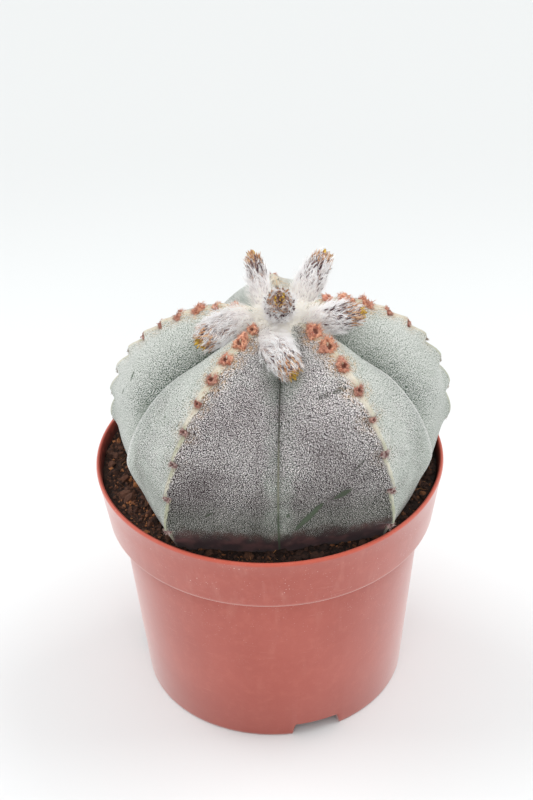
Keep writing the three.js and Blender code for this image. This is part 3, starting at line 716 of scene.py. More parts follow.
# the flank from the crest of one rib to the valley beside it: rows by columns of points
def flank(ribIndex, valleyIndex, parts):
    rib = ribs[ribIndex]
    other = (valleyIndex + 1) % len(ribs)
    one, two = ribs[valleyIndex], ribs[other]
    side = 1 if ribIndex == valleyIndex else -1
    span = (two[0] - one[0]) % 360
    valleyTurn = math.radians(one[0] + span / 2 + (plant["frontShift"] if valleyIndex == frontValley else 0))
    size, lift = (one[1] + two[1]) / 2, (one[2] + two[2]) / 2
    angle, stand = rowsOf[ribIndex]
    valleyAngle = (rowsOf[valleyIndex][0] + rowsOf[other][0]) / 2
    crestR, crestZ = crestAt(angle, rib)
    crestZ = sunken(crestR, crestZ, crestAt(0.0, rib)[1])
    rise = plant["valleyRise"] + lift
    form = (plant["valleyRadius"] * size, rise, plant["valleyPower"], plant["valleyDrop"])
    lowR, lowZ = profileAt(valleyAngle, *form)
    lowZ = sunken(lowR, lowZ, profileAt(np.array(0.0), *form)[1])
    crestTurn = math.radians(rib[0])
    crest = standing(crestR, crestTurn, crestZ)[:, None]
    low = standing(lowR, valleyTurn, lowZ)[:, None]
    away = np.zeros_like(crest)
    away[..., 0] = (low[..., 1] - crest[..., 1]) * side
    away[..., 1] = -(low[..., 0] - crest[..., 0]) * side
    part = parts[None, :]
    turned = mixed(angle[:, None], valleyAngle[:, None], part)
    aheadR, aheadZ = crestAt(turned + 0.01, rib)
    behindR, behindZ = crestAt(turned - 0.01, rib)
    tilt = np.arctan2(aheadR - behindR, behindZ - aheadZ)
    outward = unit(away) * np.cos(tilt)[..., None]
    outward[..., 2] = np.sin(tilt)
    reach = np.clip(turned / (math.pi / 2), 0, 2)
    upper = plant["bulgeTop"] * 2 * reach * (1 - reach) + plant["bulgeMiddle"] * reach * reach
    bulge = np.where(reach < 1, upper, mixed(plant["bulgeMiddle"], plant["bulgeLow"], reach - 1))
    skew = mixed(plant["skewTop"], plant["skewLow"], reach / 1.5)
    swell = 4 * part * (1 - part) * (1 + skew * (2 * part - 1))
    point = mixed(crest, low, part[..., None]) + outward * (bulge * swell)[..., None]
    point = point + plantPlace
    # the teeth of the crest
    near = np.maximum(0, 1 - part / crown["width"]) ** 1.3
    near = near * smoothStep(point[..., 2], *crown["fadeHeights"])
    near = near * smoothStep(crestR[:, None], *crown["fadeRadii"])
    tooth = (crown["height"] * stand[:, None] - crown["notch"]) * near
    return heldIn(point + standing(np.cos(tilt), crestTurn, np.sin(tilt)) * tooth[..., None])


# where each areole sits on its crest: place, outward, downhill, arc, rib and order from the crown
def areoleSeats():
    found = []
    for index, rib in enumerate(ribs):
        angles, table = arcTable(rib)
        turn = math.radians(rib[0])
        out = np.array([math.sin(turn), -math.cos(turn), 0])
        for order, arc in enumerate(areoleArcs(rib)):
            angle = np.interp(arc - 0.4, table, angles)
            radius, height = crestAt(angle, rib)
            aheadR, aheadZ = crestAt(angle + 0.02, rib)
            if height < 79.6:  # in the soil
                continue
            down = unit(out * (aheadR - radius) + np.array([0, 0, aheadZ - height]))
            normal = np.array([out[0] * -down[2], out[1] * -down[2], math.hypot(down[0], down[1])])
            normal = unit(normal + down * 0.35)
            place = plantPlace + [0, 0, height] + out * radius - normal * 0.45
            found.append((place, normal, down, arc, index, order))
    return found


seats = areoleSeats()


# bare streaks where the flecks are rubbed off: from, to, half width and how bare
scars = [
    ((5.2, -45.4, 85.1), (12.9, -44.8, 93.7), 1.15, 0.95),
    ((16.3, -44.3, 95.0), (21.4, -42.9, 97.3), 0.85, 0.7),
    ((21.7, -41.7, 102.3), (25.8, -39.3, 105.3), 0.45, 0.3),
    ((-20.4, -44.7, 90.2), (-17.2, -45.4, 92.4), 0.5, 0.35),
    ((-18.3, -44.6, 85.0), (-15.1, -45.1, 87.4), 0.5, 0.35),
    ((2.7, -46.0, 90.0), (3.8, -45.8, 91.3), 0.55, 0.9),
    ((12.2, -30.6, 119.9), (16.4, -29.6, 121.1), 0.9, 0.26),
    ((16.6, -29.6, 121.1), (20.4, -28.2, 121.7), 0.95, 0.32),
    ((17.8, -27.8, 122.5), (19.9, -27.4, 122.5), 0.7, 0.28),
    ((36.5, -21.3, 110.3), (38.6, -29.0, 99.9), 0.6, 0.6),
    ((-40.1, -0.7, 110.9), (-41.7, -1.9, 107.5), 0.6, 0.7),
    ((-43.4, -0.9, 104.7), (-44.8, -0.2, 101.4), 0.5, 0.6),
    ((-30.3, -26.3, 113.1), (-30.9, -27.1, 111.9), 0.6, 0.8),
]
scarTaper = 2.4


# the distance from a line between two points, larger towards its ends
def awayFrom(place, first, second):
    line = np.subtract(second, first)
    start = place.minus(first)
    share = start.vector("DOT_PRODUCT", {"Vector_001": (line / (line @ line)).tolist()}, 1).clamped()
    values = {"Vector": line.tolist(), "Scale": share}
    reached = share.add("ShaderNodeVectorMath", {"operation": "SCALE"}, values)
    return start.minus(reached).vector("LENGTH", {}, 1) + (share - 0.5) ** 2.0 * scarTaper


def skinMaterial():
    material, shader, place = newMaterial("fleckedSkin", {
        "Specular IOR Level": 0.15, "Sheen Weight": 0.22, "Sheen Roughness": 0.4,
    })
    crest, valley, arc = attribute(place, "lines").parts()
    near, age, green = attribute(place, "marks").parts()
    weave = attribute(place, "weave")
    lip = weave.parts()[2]
    x, z = place.parts()[::2]
    cloud = place.noise(0.07, 3, 0.55)
    patch = place.noise(0.22, 2, 0.5)
    fine = place.noise(7.0, 1, 0.5)
    upper = (z + cloud.swing(20.0)).ramp(88.0, 110.0)
    # bare skin between the flecks: purple-grey in front, green on the sides and in the folds
    purple = cloud.ramp(0.38, 0.62).blend((0.038, 0.027, 0.030), (0.023, 0.018, 0.019))
    purple = z.ramp(98.0, 87.0).blend(purple, (0.038, 0.041, 0.033))
    # the side green is the skin's own, painted darker near the valleys as painted shade in the folds, and
    # paler near the crests and higher up, partly a painted sheen where the flank is seen edge-on
    side = (green + valley.ramp(10.0, 2.0) * 0.42 + patch.swing(0.5)).ramp(0.2, 0.8)
    pale = (crest + cloud.swing(16.0)).ramp(23.0, 8.0).most((z + cloud.swing(12.0)).ramp(108.0, 94.0))
    greenShadeAndSheen = pale.blend((0.020, 0.046, 0.026), (0.17, 0.205, 0.165))
    # the foot of the plant is bare, dark and purple-brown: partly its own colour, partly painted shade where
    # the body turns under towards the soil
    wander = place.noise(0.28, 3, 0.6).swing(6.0)
    foot = (z + wander * 1.4).ramp(86.8, 78.4) * (1.0 - green * 0.9)
    footToneAndShade = patch.ramp(0.4, 0.65).blend((0.043, 0.018, 0.021), (0.105, 0.044, 0.044))
    bare = None
    for first, second, width, most in scars:
        away = awayFrom(place, first, second) + patch.swing(1.2) + fine.swing(1.5)
        mask = away.ramp(width, width * 0.5) * most
        bare = mask if bare is None else bare.most(mask)
    skin = layered(purple, (side, greenShadeAndSheen), (foot, footToneAndShade), (bare, (0.072, 0.096, 0.062)))
    # flecks: fine tufts in crooked rows, drawn out across the rib close to its crest
    weave = weave.plus(place.noise(0.9, 2, out=1).times(0.9))
    values = {"Vector": weave, "Scale": 2.95, "Randomness": 0.7}
    cell = weave.add("ShaderNodeTexVoronoi", {"voronoi_dimensions": "2D"}, values)
    odd = cell.output("Color").parts()[0]
    # painted light at the folds: a painted highlight on the pale edge where the front ribs end, and painted
    # shade on the skin behind it
    edge = lip * valley.ramp(1.2, 2.6) * valley.ramp(6.0, 3.4)
    behind = (1.0 - lip) * side * valley.ramp(9.0, 1.0) * z.ramp(94.0, 106.0)
    cover = 0.232 + cloud.swing(0.20) + odd.swing(0.10) + upper * 0.088
    cover = cover + upper * (1.0 - side) * x.ramp(4.0, 20.0) * z.ramp(110.0, 120.0) * 0.07
    # painted light: more flecks, so paler skin, towards the far left and right and near the crests on the
    # sides
    cover = cover + side * (0.085 + pale * 0.045 + x.ramp(-30.0, -46.0) * 0.09 + x.ramp(28.0, 40.0) * 0.03)
    cover = cover + edge * 0.05 - behind * 0.06 - valley.ramp(1.6, 0.2) * 0.06 - foot * 0.30 - bare * 0.5
    fleck = ((cover - cell).ramp(-0.025, 0.025) * (0.85 + fine * 0.3)).clamped()
    white = upper.blend((0.58, 0.555, 0.53), (0.80, 0.77, 0.76))
    # the pale edge's whites are the painted highlight at the folds
    white = layered(white, (side, (0.60, 0.615, 0.585)), (edge, (0.69, 0.69, 0.67)))
    # worn pale line on every crest, wide and fibrous with wool higher up, greener in patches
    young = arc.ramp(56.0, 24.0)
    along = place.add("ShaderNodeCombineXYZ", None, {"X": crest * 2.6, "Y": arc * 0.7, "Z": green * 7.0})
    thread = along.noise(1.0, 2, 0.6)
    line = (crest + thread.swing(2.0 + young * 4.0) - young * 0.7).ramp(0.95, 0.30)
    line = line * (1.0 - thread.ramp(0.50, 0.60) * 0.45)
    cream = (patch + cloud - 0.5).ramp(0.4, 0.65).blend((0.44, 0.45, 0.32), (0.60, 0.57, 0.46))
    cream = (young * thread.ramp(0.35, 0.6)).blend(cream, (0.77, 0.70, 0.62))
    # the valley's seam
    seam = (valley + fine.swing(0.16)).ramp(0.42, 0.16)
    seamTone = (z + wander).ramp(96.0, 89.0).blend((0.17, 0.17, 0.12), (0.05, 0.07, 0.04))
    seamTone = (z + wander).ramp(104.0, 112.0).blend(seamTone, (0.045, 0.045, 0.035))
    # yellow-brown wool stains round the upper areoles
    stain = (near + patch.swing(4.0)).ramp(6.2, 2.2) * thread.ramp(0.46, 0.58) * age.ramp(0.78, 0.15)
    colour = layered(
        skin, (fleck, white), (line * 0.85 * (1.0 - foot * 0.8), cream), (seam * 0.8, seamTone),
        (stain * 0.75, (0.50, 0.30, 0.13)),
    )
    rough = 0.72 + fleck * 0.16 - line * 0.08
    height = fleck * 0.8 + fine * 0.25 + line * 0.5 - seam * 0.8
    feed(shader, colour=colour, rough=rough, normal=bump(height, 0.35, 0.00015))
    return material


# how green the flanks beside each valley are, and where a rib bulges over the fold behind it
sectorGreen = (1.0, 0.0, 1.0, 0.8, 0.8)
foldedGreen = {(0, 1): 0.62, (2, 2): 0.68}  # by valley and rib


# the distance from the crest along each row
def crossed(block):
    steps = np.linalg.norm(np.diff(block, axis=1), axis=2)
    return np.concatenate([np.zeros((len(block), 1)), np.cumsum(steps, 1)], 1)


# flecks are drawn out across the rib close to its crest
def woven(away):
    return np.where(away < 5, away * 0.85, away - 0.75)


# one flank of the skin: its points, and what the material reads on each of them
def skinStrip(index, rib, other, points, away, middle, downOf):
    folded = (index, rib) in foldedGreen
    down = downOf[rib][:, None] + np.zeros_like(away)
    fromCrest = away * middle / np.maximum(away[:, -1:], 1e-6)
    across = woven(fromCrest) if rib == index else 2 * woven(middle) - woven(fromCrest)
    walked = mixed(down[:, :1], downOf[other][:, None], skinParts[None] / 2) + index * 37.0
    tone = foldedGreen.get((index, rib), sectorGreen[index])
    fold = plant["fold"] if folded else 0.0
    channels = (fromCrest, away[:, -1:] - away, down, tone, fold, across, walked, float(folded))
    channels = np.stack([np.broadcast_to(channel, away.shape) for channel in channels], -1)
    strip = np.concatenate([points, channels], -1)
    return strip if rib == index else strip[:, -2:0:-1]


skinForm = {
    # size, seed and height of the flesh's waves, and where they begin: from a crest and from the soil
    "waves": ((9.0, 3.1, 0.22), (3.5, 8.7, 0.06)), "waveAway": (0.5, 4), "waveHeights": (78, 84),
    # where a fold begins and ends, by height and by the distance from its valley
    "foldFoot": (80, 92), "foldTop": (112, 122), "foldNear": (0, 2.4), "foldFar": (3, 15),
    "topGreen": (114, 124), "oldArc": 90,
}
even = np.linspace(0, 1, plant["across"] + 1)
skinParts = 0.55 * even ** 1.3 + 0.45 * (1 - (1 - even) ** 1.5)


def skinGrid():
    downOf = [np.interp(rows[0], *arcTable(rib)) for rows, rib in zip(rowsOf, ribs)]
    strips = []
    for index in range(len(ribs)):
        pair = (index, (index + 1) % len(ribs))
        blocks = [flank(rib, index, skinParts) for rib in pair]
        aways = [crossed(block) for block in blocks]
        middle = (aways[0][:, -1:] + aways[1][:, -1:]) / 2
        for rib, other, block, away in zip(pair, pair[::-1], blocks, aways):
            strips.append(skinStrip(index, rib, other, block, away, middle, downOf))
    return np.concatenate(strips, 1)


def makeSkin():
    grid = skinGrid()
    points = grid[..., :3]
    crestAway, valleyAway, arcs, green, fold = (grid[..., k] for k in range(3, 8))
    height = points[..., 2]
    top = plantPlace + [0, 0, plant["crown"]]
    bottom = plantPlace + [0, 0, plant["equator"] - plant["crestDrop"]]
    flat = closed(points, top, bottom)
    # slight waves of the flesh, none at the crests
    wave = sum(unevenness(flat, size, seed) * tall for size, seed, tall in skinForm["waves"])
    steady = smoothStep(crestAway, *skinForm["waveAway"]) * smoothStep(height, *skinForm["waveHeights"])
    # the front ribs bulge over the folds behind them
    tall = smoothStep(height, *skinForm["foldFoot"]) * (1 - smoothStep(height, *skinForm["foldTop"]))
    fold = fold * tall * smoothStep(valleyAway, *skinForm["foldNear"])
    fold = fold * (1 - smoothStep(valleyAway, *skinForm["foldFar"]))
    outward = unit(flat - (plantPlace + [0, 0, plant["equator"]]))
    flat = flat + outward * (wave * closed(steady, 0, 0) + closed(fold, 0, 0))[:, None]
    piece = newPiece("fleckedSkin", flat, ringFaces(*points.shape[:2]), [skinMaterial()])
    weave = closed(grid[..., 8:], grid[0, 0, 8:], grid[-1, 0, 8:])
    lines = [closed(part, part[0].mean(), part[-1].mean()) for part in (crestAway, valleyAway, arcs)]
    gaps = np.linalg.norm(flat[:, None] - np.array([seat[0] for seat in seats])[None], axis=2)
    age = np.clip(np.array([seat[3] for seat in seats])[gaps.argmin(1)] / skinForm["oldArc"], 0, 1)
    # green everywhere but between the two front crests, where the skin is purple-grey
    green = closed(green, 0.7, 0.7) + 0.3 * smoothStep(flat[:, 2], *skinForm["topGreen"])
    marks = [gaps.min(1), age, np.clip(green, 0, 1)]
    mark(piece, weave=weave, lines=np.stack(lines, -1), marks=np.stack(marks, -1))
    faceOutward(piece)
    dress("cactus_body", "cactus_skin", piece)
    return points


taproot = {"top": 62, "end": 30.2, "radius": 7.0, "endRadius": 2.0, "rings": 16, "sides": 20, "gnarl": 0.10}


def makeRoot():
    points = [plantPlace + [0, 0, taproot["top"] + 1]]
    for part in np.linspace(0, 1, taproot["rings"]):
        for k in range(taproot["sides"]):
            turn = fullTurn * k / taproot["sides"]
            z = mixed(taproot["top"], taproot["end"], part)
            knots = noise.noise(Vector((math.cos(turn) * 2, math.sin(turn) * 2, z / 5)))
            radius = mixed(taproot["radius"], taproot["endRadius"], part) * (1 + taproot["gnarl"] * knots)
            points.append(plantPlace + [radius * math.cos(turn), radius * math.sin(turn), z])
    points.append(plantPlace + [0, 0, taproot["end"] - 0.3])
    material, shader, place = newMaterial("rootBark", {"Specular IOR Level": 0.2})
    bark = place.stretched(1.0, 1.0, 0.3).noise(0.9, 4, 0.65)
    colour = bark.ramp(0.35, 0.65).blend((0.10, 0.055, 0.03), (0.25, 0.16, 0.09))
    feed(shader, colour=colour, rough=0.7 + bark * 0.25, normal=bump(bark, 0.8, 0.0004))
    piece = newPiece("taproot", points, ringFaces(taproot["rings"], taproot["sides"]), [material])
    faceOutward(piece)
    dress("cactus_body", "cactus_skin", piece)


skinPoints = makeSkin()
makeRoot()
print("skin")


# the soil
soil = {
    "level": 75.2, "lump": 1.1, "lumps": 150, "lumpPlace": (36, 51), "lumpWidth": (1.4, 3.6),
    "lumpHeight": (-0.6, 1.3), "lumpShare": 0.7, "dent": -0.9, "gap": 0.45, "inset": 0.35,
    "waves": ((1.7, 4.0, 0.5), (0.7, 9.0, 0.3)),  # size, seed and height
    "topRings": 13, "hollowRings": 9, "socketRings": 8, "socketTop": (7.9, 56.5), "socketEnd": (2.6, 29.7),
    "bottom": 6.3, "shownAbove": 73.6, "shownInset": 0.9,
}
crumbs = {"Density": 2.4e5, "Size": 0.0024, "Seed": 3}
grains = {"Density": 1.5e6, "Size": 0.0009, "Seed": 8}
fibres = {
    "Density": 6.0e4, "Length": 0.0055, "Thickness": 0.00011, "Lay": 0.5, "Rise": 0.22, "Spread": 1.0,
    "Wave": 0.003, "Wave Size": 260.0, "Bend": 0.0, "Tufts": 1.0e4, "Tuft Pull": 0.0, "Tuft Spread": 0.0,
    "Seed": 5,
}


def peatMaterial(name, low, high, warm):
    material, shader, place = newMaterial(name, {"Specular IOR Level": 0.25})
    shade = attribute(place, "shade", 2)
    mottle = place.noise(0.7, 4, 0.65)
    x, y = place.parts()[:2]
    # painted shade: darker at the front, under the plant, and on the right
    paintedShade = (y + mottle.swing(8.0)).ramp(-34.0, -43.0).most((x + mottle.swing(8.0)).ramp(22.0, 34.0))
    colour = layered(
        (mottle + shade * 0.35).ramp(0.35, 0.85).blend(low, high),
        ((shade.ramp(0.80, 0.97) * (0.5 + mottle)).clamped(), warm),
        (paintedShade * 0.62, (0.010, 0.006, 0.005)),
    )
    feed(shader, colour=colour, rough=0.75 + mottle * 0.3, normal=bump(place.noise(2.4, 4, 0.7), 0.8, 0.0004))
    return material


def fibreMaterial():
    material, shader, place = newMaterial("peatFibre", {"Specular IOR Level": 0.3})
    shade = place.noise(0.8, 2)
    colour = shade.ramp(0.35, 0.65).blend((0.13, 0.055, 0.025), (0.36, 0.17, 0.07))
    feed(shader, colour=colour, rough=0.6 + shade * 0.3)
    return material


def levelRing(turns, radius, height, middle=(0.0, 0.0)):
    x, y = middle[0] + np.cos(turns) * radius, middle[1] + np.sin(turns) * radius
    return np.stack([x, y, np.full(len(turns), height)], 1)


# the lumpy top, in rings from the pot's wall to the plant
def soilTop(rim, edge):
    rng = np.random.default_rng(77)
    angle = rng.uniform(0, fullTurn, soil["lumps"])
    far = rng.uniform(*soil["lumpPlace"], soil["lumps"])
    lumps = np.stack([far * np.cos(angle), far * np.sin(angle)], 1)
    wide = rng.uniform(*soil["lumpWidth"], soil["lumps"])
    tall = rng.uniform(*soil["lumpHeight"], soil["lumps"])
    rings = []
    for share in np.linspace(0, 1, soil["topRings"]):
        ring = mixed(rim, edge, share)
        gap = np.linalg.norm(ring[:, None, :2] - lumps[None], axis=2) / wide
        lift = (soil["lumpShare"] * tall * np.exp(-gap * gap)).sum(1)
        ring[:, 2] += np.clip(lift, soil["dent"], soil["lump"])
        ring[:, 2] += sum(unevenness(ring, size, seed) * height for size, seed, height in soil["waves"])
        rings.append(ring)
    return rings


def makeSoil():
    # level rings of the body below the soil's top, pushed out, make the hollow that it stands in
    middle = plantPlace[:2]
    count = skinPoints.shape[1]
    under = skinPoints[skinPoints[..., 2].max(1) < plant["equator"]][::-1]

    def hollowRing(level):
        sides = np.swapaxes(under, 0, 1)
        out = [[np.interp(level, side[:, 2], side[:, axis]) for axis in (0, 1)] for side in sides] - middle
        far = np.linalg.norm(out, axis=1, keepdims=True)
        ring = middle + out * (far + soil["gap"]) / far
        return np.concatenate([ring, np.full((count, 1), level - 0.25)], 1)

    levels = np.linspace(soil["level"] - 0.3, under[0, :, 2].max() + 0.1, soil["hollowRings"])
    hollow = [hollowRing(level) for level in levels]
    edge = hollowRing(soil["level"])
    edge[:, 2] = soil["level"]
    turns = np.arctan2(edge[:, 1], edge[:, 0])
    outer = collarRadius(soil["level"]) - pot["wall"] - soil["inset"]
    top = soilTop(levelRing(turns, outer, soil["level"]), edge)
    # clear of the pot's wall, from the floor up
    wall = [
        (wallRadius(6.5) - 1.6, soil["bottom"]), (wallRadius(30) - 1.6, 30), (wallRadius(59) - 1.7, 59.5),
        (pot["bandFoot"] - 2.1, 62.5), (collarRadius(70) - 1.55, 70),
    ]
    wall = [levelRing(turns, radius, height) for radius, height in wall]
    # and clear of the root
    around = np.arctan2(edge[:, 1] - middle[1], edge[:, 0] - middle[0])
    socket = []
    for share in np.linspace(0, 1, soil["socketRings"]):
        radius, height = (mixed(*pair, share) for pair in zip(soil["socketTop"], soil["socketEnd"]))
        socket.append(levelRing(around, radius, height, middle))
    rings = wall + top + hollow + socket
    bottom, end = (0, 0, soil["bottom"]), (*middle, soil["socketEnd"][1] - 0.2)
    points = np.concatenate([[bottom], np.concatenate(rings), [end]])
    material = peatMaterial("peat", (0.018, 0.010, 0.008), (0.075, 0.036, 0.023), (0.22, 0.085, 0.04))
    piece = newPiece("peat", points, ringFaces(len(rings), count), [material], smooth=False)
    faceOutward(piece)
    places = np.array([v.co for v in piece.data.vertices]) / mm
    # crumbs lie on what can be seen of the top, clear of the plant's skin
    far = np.hypot(places[:, 0] - potAxis[0], places[:, 1])
    ring = (np.arange(len(places)) - 1) // count - len(wall)
    shown = (ring >= 0) & (ring <= len(top)) & (places[:, 2] > soil["shownAbove"])
    shown = shown & (far < outer - soil["shownInset"])
    flow = unit(np.stack([-places[:, 1], places[:, 0], np.zeros(len(places))], 1))
    mark(piece, thick=shown, long=np.clip((outer - far) / 6 - 0.1, 0.1, 1), flow=flow)
    finish = peatMaterial("peatCrumbs", (0.020, 0.011, 0.009), (0.125, 0.056, 0.036), (0.42, 0.165, 0.065))
    made = [
        grown(crumbTree, piece, "peatCrumbs", {**crumbs, "Finish": finish}),
        grown(crumbTree, piece, "peatGrains", {**grains, "Finish": finish}),
        grown(hairTree, piece, "peatFibres", {**fibres, "Finish": fibreMaterial()}),
    ]
    dress("soil", "peat_soil", piece, *made)


makeSoil()
print("soil")


# areoles
areole = {
    "radius": 2.1, "low": 1.05, "height": 1.25, "sides": 26, "largeTo": 24, "smallFrom": 44, "trail": 0.45,
    "bleachedFrom": 48, "bleachedSize": 0.75, "bleachedAge": 2.0, "raised": 0.35,
    # the size of those hardly out, by rib and place from the crown
    "hardlyOut": {
        (0, 0): 0.5, (0, 1): 0.62, (1, 0): 0.6, (3, 0): 0.5, (4, 0): 0.5, (4, 1): 0.6, (4, 2): 0.7,
    },
    # the pad's section: share of the radius and share of the height
    "section": [
        (0.16, 0.48), (0.30, 0.58), (0.44, 0.85), (0.60, 1.0), (0.78, 0.95), (0.94, 0.55), (1.0, 0.1),
        (0.92, -0.5),
    ],
}
padHair = {
    "Density": 7.4e6, "Length": 0.0012, "Thickness": 0.000055, "Lay": 0.55, "Rise": 0.6, "Spread": 0.75,
    "Wave": 0.0012, "Wave Size": 900.0, "Bend": 0.0002, "Tufts": 1.2e6, "Tuft Pull": 0.5, "Tuft Spread": 0.5,
    "Seed": 21,
}


def areoleMaterial(name, hairy):
    material, shader, place = newMaterial(name, {"Specular IOR Level": 0.15, "Sheen Weight": 0.2})
    age, inside = attribute(place, "ring").parts()[1:]
    mottle = place.noise(1.3, 3, 0.65)
    tone = place.noise(0.25, 1, 0.5)
    young = mottle.ramp(0.40, 0.60).blend((0.38, 0.105, 0.055), (0.84, 0.46, 0.30))
    middle = mottle.ramp(0.35, 0.65).blend((0.25, 0.080, 0.062), (0.62, 0.32, 0.24))
    old = mottle.ramp(0.42, 0.60).blend((0.17, 0.070, 0.070), (0.56, 0.43, 0.40))
    bleached = mottle.ramp(0.4, 0.6).blend((0.26, 0.21, 0.17), (0.50, 0.48, 0.41))
    colour = layered(
        young,
        (tone.ramp(0.45, 0.65) * 0.45, (0.60, 0.26, 0.20)),
        ((age + mottle.swing(0.15)).ramp(0.26, 0.42), middle),
        ((age + mottle.swing(0.2)).ramp(0.46, 0.62), old),
        (age.ramp(1.2, 1.8), bleached),
        (inside.ramp(0.62, 0.22) * 0.85, (0.085, 0.022, 0.016)),
    )
    if hairy:
        tip = attribute(place, "tipShare", 2)
        colour = (tip.ramp(0.3, 1.0) * 0.45).blend(colour, (0.92, 0.70, 0.54))
    feed(shader, colour=colour, rough=0.8 + mottle * 0.15, normal=bump(mottle, 0.6, 0.0002))
    return material


# one pad, a row for each point: place, flow, thick, long, and the ring, age and depth it is coloured by
def padRows(seat, rng):
    place, normal, down, arc, index, order = seat
    low = np.clip((arc - areole["largeTo"]) / (areole["smallFrom"] - areole["largeTo"]), 0, 1)
    radius = mixed(areole["radius"], areole["low"], low) * rng.uniform(0.88, 1.1)
    radius *= areole["hardlyOut"].get((index, order), 1.0)
    bleached = index in (0, 3, 4) and arc > areole["bleachedFrom"] or index == 4 and order < 3
    radius *= areole["bleachedSize"] if bleached else 1.0
    age = areole["bleachedAge"] if bleached else min(arc / skinForm["oldArc"], 1)
    height = areole["height"] * (0.5 + 0.5 * radius / areole["radius"])
    across = unit(np.cross(normal, down))
    along = unit(np.cross(across, normal))
    spin = rng.uniform(0, 6)
    trail = areole["trail"] * rng.uniform(0.3, 1.2) * (1 - low)
    place = place + normal * areole["raised"]
    rows = [(place + normal * height * 0.45, normal, 0.1, 0.5, (0.0, age, 0.0))]
    for share, level in areole["section"]:
        thick = 1.0 if share > 0.4 and level > 0 else 0.0
        long = (0.4 + 0.6 * radius / areole["radius"]) * (0.45 if share < 0.7 else 1.0)
        for k in range(areole["sides"]):
            turn = fullTurn * k / areole["sides"]
            spoke = across * math.cos(turn) + along * math.sin(turn)
            seed = Vector((math.cos(turn) * 1.5 + spin, math.sin(turn) * 1.5, share * 2 + index))
            lump = 1 + (0.60 * noise.noise(seed) + 0.30 * noise.noise(seed * 2.7)) * share
            lump += trail * max(0, -math.sin(turn)) ** 4 * share
            up = 0.75 * noise.noise(seed * 1.7) + 0.5 * noise.noise(seed * 3.9)
            up = level + up * min(1, share * 1.4)
            point = place + spoke * radius * share * lump + normal * height * up
            rows.append((point, spoke * 0.8 + normal * 0.3, thick, long, (share, age, share)))
    rows.append((place - normal * height, -normal, 0.0, 0.5, (1.0, age, 1.0)))
    return rows


def makeAreoles():
    rng = np.random.default_rng(12)
    rows, faces = [], []
    for seat in seats:
        faces += ringFaces(len(areole["section"]), areole["sides"], len(rows))
        rows += padRows(seat, rng)
    points, flow, thick, long, ring = zip(*rows)
    piece = newPiece("areolePads", points, faces, [areoleMaterial("areoleFelt", False)])
    mark(piece, flow=flow, ring=ring, thick=thick, long=long)
    faceOutward(piece)
    values = {**padHair, "Finish": areoleMaterial("areoleHair", True)}
    dress("cactus_body", "cactus_skin", piece, grown(hairTree, piece, "areoleHairs", values))


makeAreoles()
print("areoles")


# buds
# foot and tip from the plant's axis in X and Y and from the ground in Z; lift of the bend; girth;
# the felt's share of it; where the scales begin, and how many there are; length of the hair
buds = [
    ((-5.2, 5.6, 126.6), (-8.6, 18.2, 139.6), 2.2, 3.7, 0.72, 0.50, 60, 2.6),
    ((4.4, 4.9, 126.8), (13.8, 17.6, 139.6), 2.0, 4.5, 0.76, 0.36, 85, 3.4),
    ((6.0, -3.2, 127.2), (24.2, -5.6, 132.4), 1.4, 4.2, 0.86, 0.38, 85, 3.7),
    ((-1.2, -0.2, 127.0), (-0.8, -14.4, 143.8), 2.6, 3.8, 0.98, 0.42, 95, 3.2),
    ((-6.4, -7.8, 126.0), (3.5, -24.4, 123.2), 3.2, 5.1, 0.86, 0.62, 56, 3.9),
    ((-9.2, 0.9, 126.4), (-25.3, -8.8, 125.4), 2.4, 4.3, 1.02, 0.68, 46, 4.2),
]
budForm = {
    "bend": 0.45, "girths": (0.62, 0.92, 1, 1, 0.90, 0.72, 0.50), "coreEnd": 0.90, "sides": 30, "rings": 40,
    "scale": (0.30, 0.07), "petal": (0.40, 0.10),  # width and thickness, as shares of the length
    "scaleSize": 0.0019, "scaleShare": 1.4, "scalesTo": 0.86, "scaleTurn": math.radians(137.5),
    # how far along the mouth's scales sit, how deep scales sit in the felt and the hair, how they lean
    "mouthScales": 34, "mouthAt": (0.78, 0.90), "inFelt": (0.75, 0.98), "inHair": (0.1, 0.85),
    "mouthLean": (-0.45, -0.05), "scaleLean": (-0.22, 0.06),
    "petals": 24, "petalTurn": 2.4, "petalSpread": 0.64, "petalSunk": 0.9, "petalLean": (-0.2, 0.3),
    "petalInward": 0.42, "petalTwist": (-0.2, 0.2), "petalLong": (2.0, 3.3),
}
budHair = {
    "Density": 8.0e6, "Thickness": 0.000046, "Lay": 0.85, "Rise": 0.5, "Spread": 0.34, "Wave": 0.0042,
    "Wave Size": 600.0, "Bend": 0.0009, "Tufts": 4.6e5, "Tuft Pull": 0.92, "Tuft Spread": 0.42,
}


# a pointed leaf of length 1 along Y, folded along its middle
def leafPoints(width, thick, rings=5):
    points = [(0, -0.06, 0)]
    for k in range(rings):
        share = k / rings
        half = width / 2 * math.sin(math.pi * min(1, 0.25 + share * 0.75)) ** 0.8
        lift = thick * 1.5 * share * share * 2
        fold = thick * (1 - share)
        points += [(-half, share, lift), (0, share, lift + fold), (half, share, lift)]
        points.append((0, share, lift - fold * 0.6 - 0.02))
    points.append((0, 1.0, thick * 2.6))
    return points, ringFaces(rings, 4)


# a leaf of its own, a metre long, for the scales to be copied from
def makeLeaf():
    points, faces = leafPoints(*budForm["scale"])
    leaf = newPiece("scaleLeaf", np.array(points) - potAxis, faces, [])
    leaf.data.transform(Matrix.Scale(1 / mm, 4))
    mark(leaf, leafShare=np.clip(np.array(points)[:, 1], 0, 1))
    faceOutward(leaf)
    return leaf


scaleLeaf = makeLeaf()
seatTree = makeSeatTree(scaleLeaf)


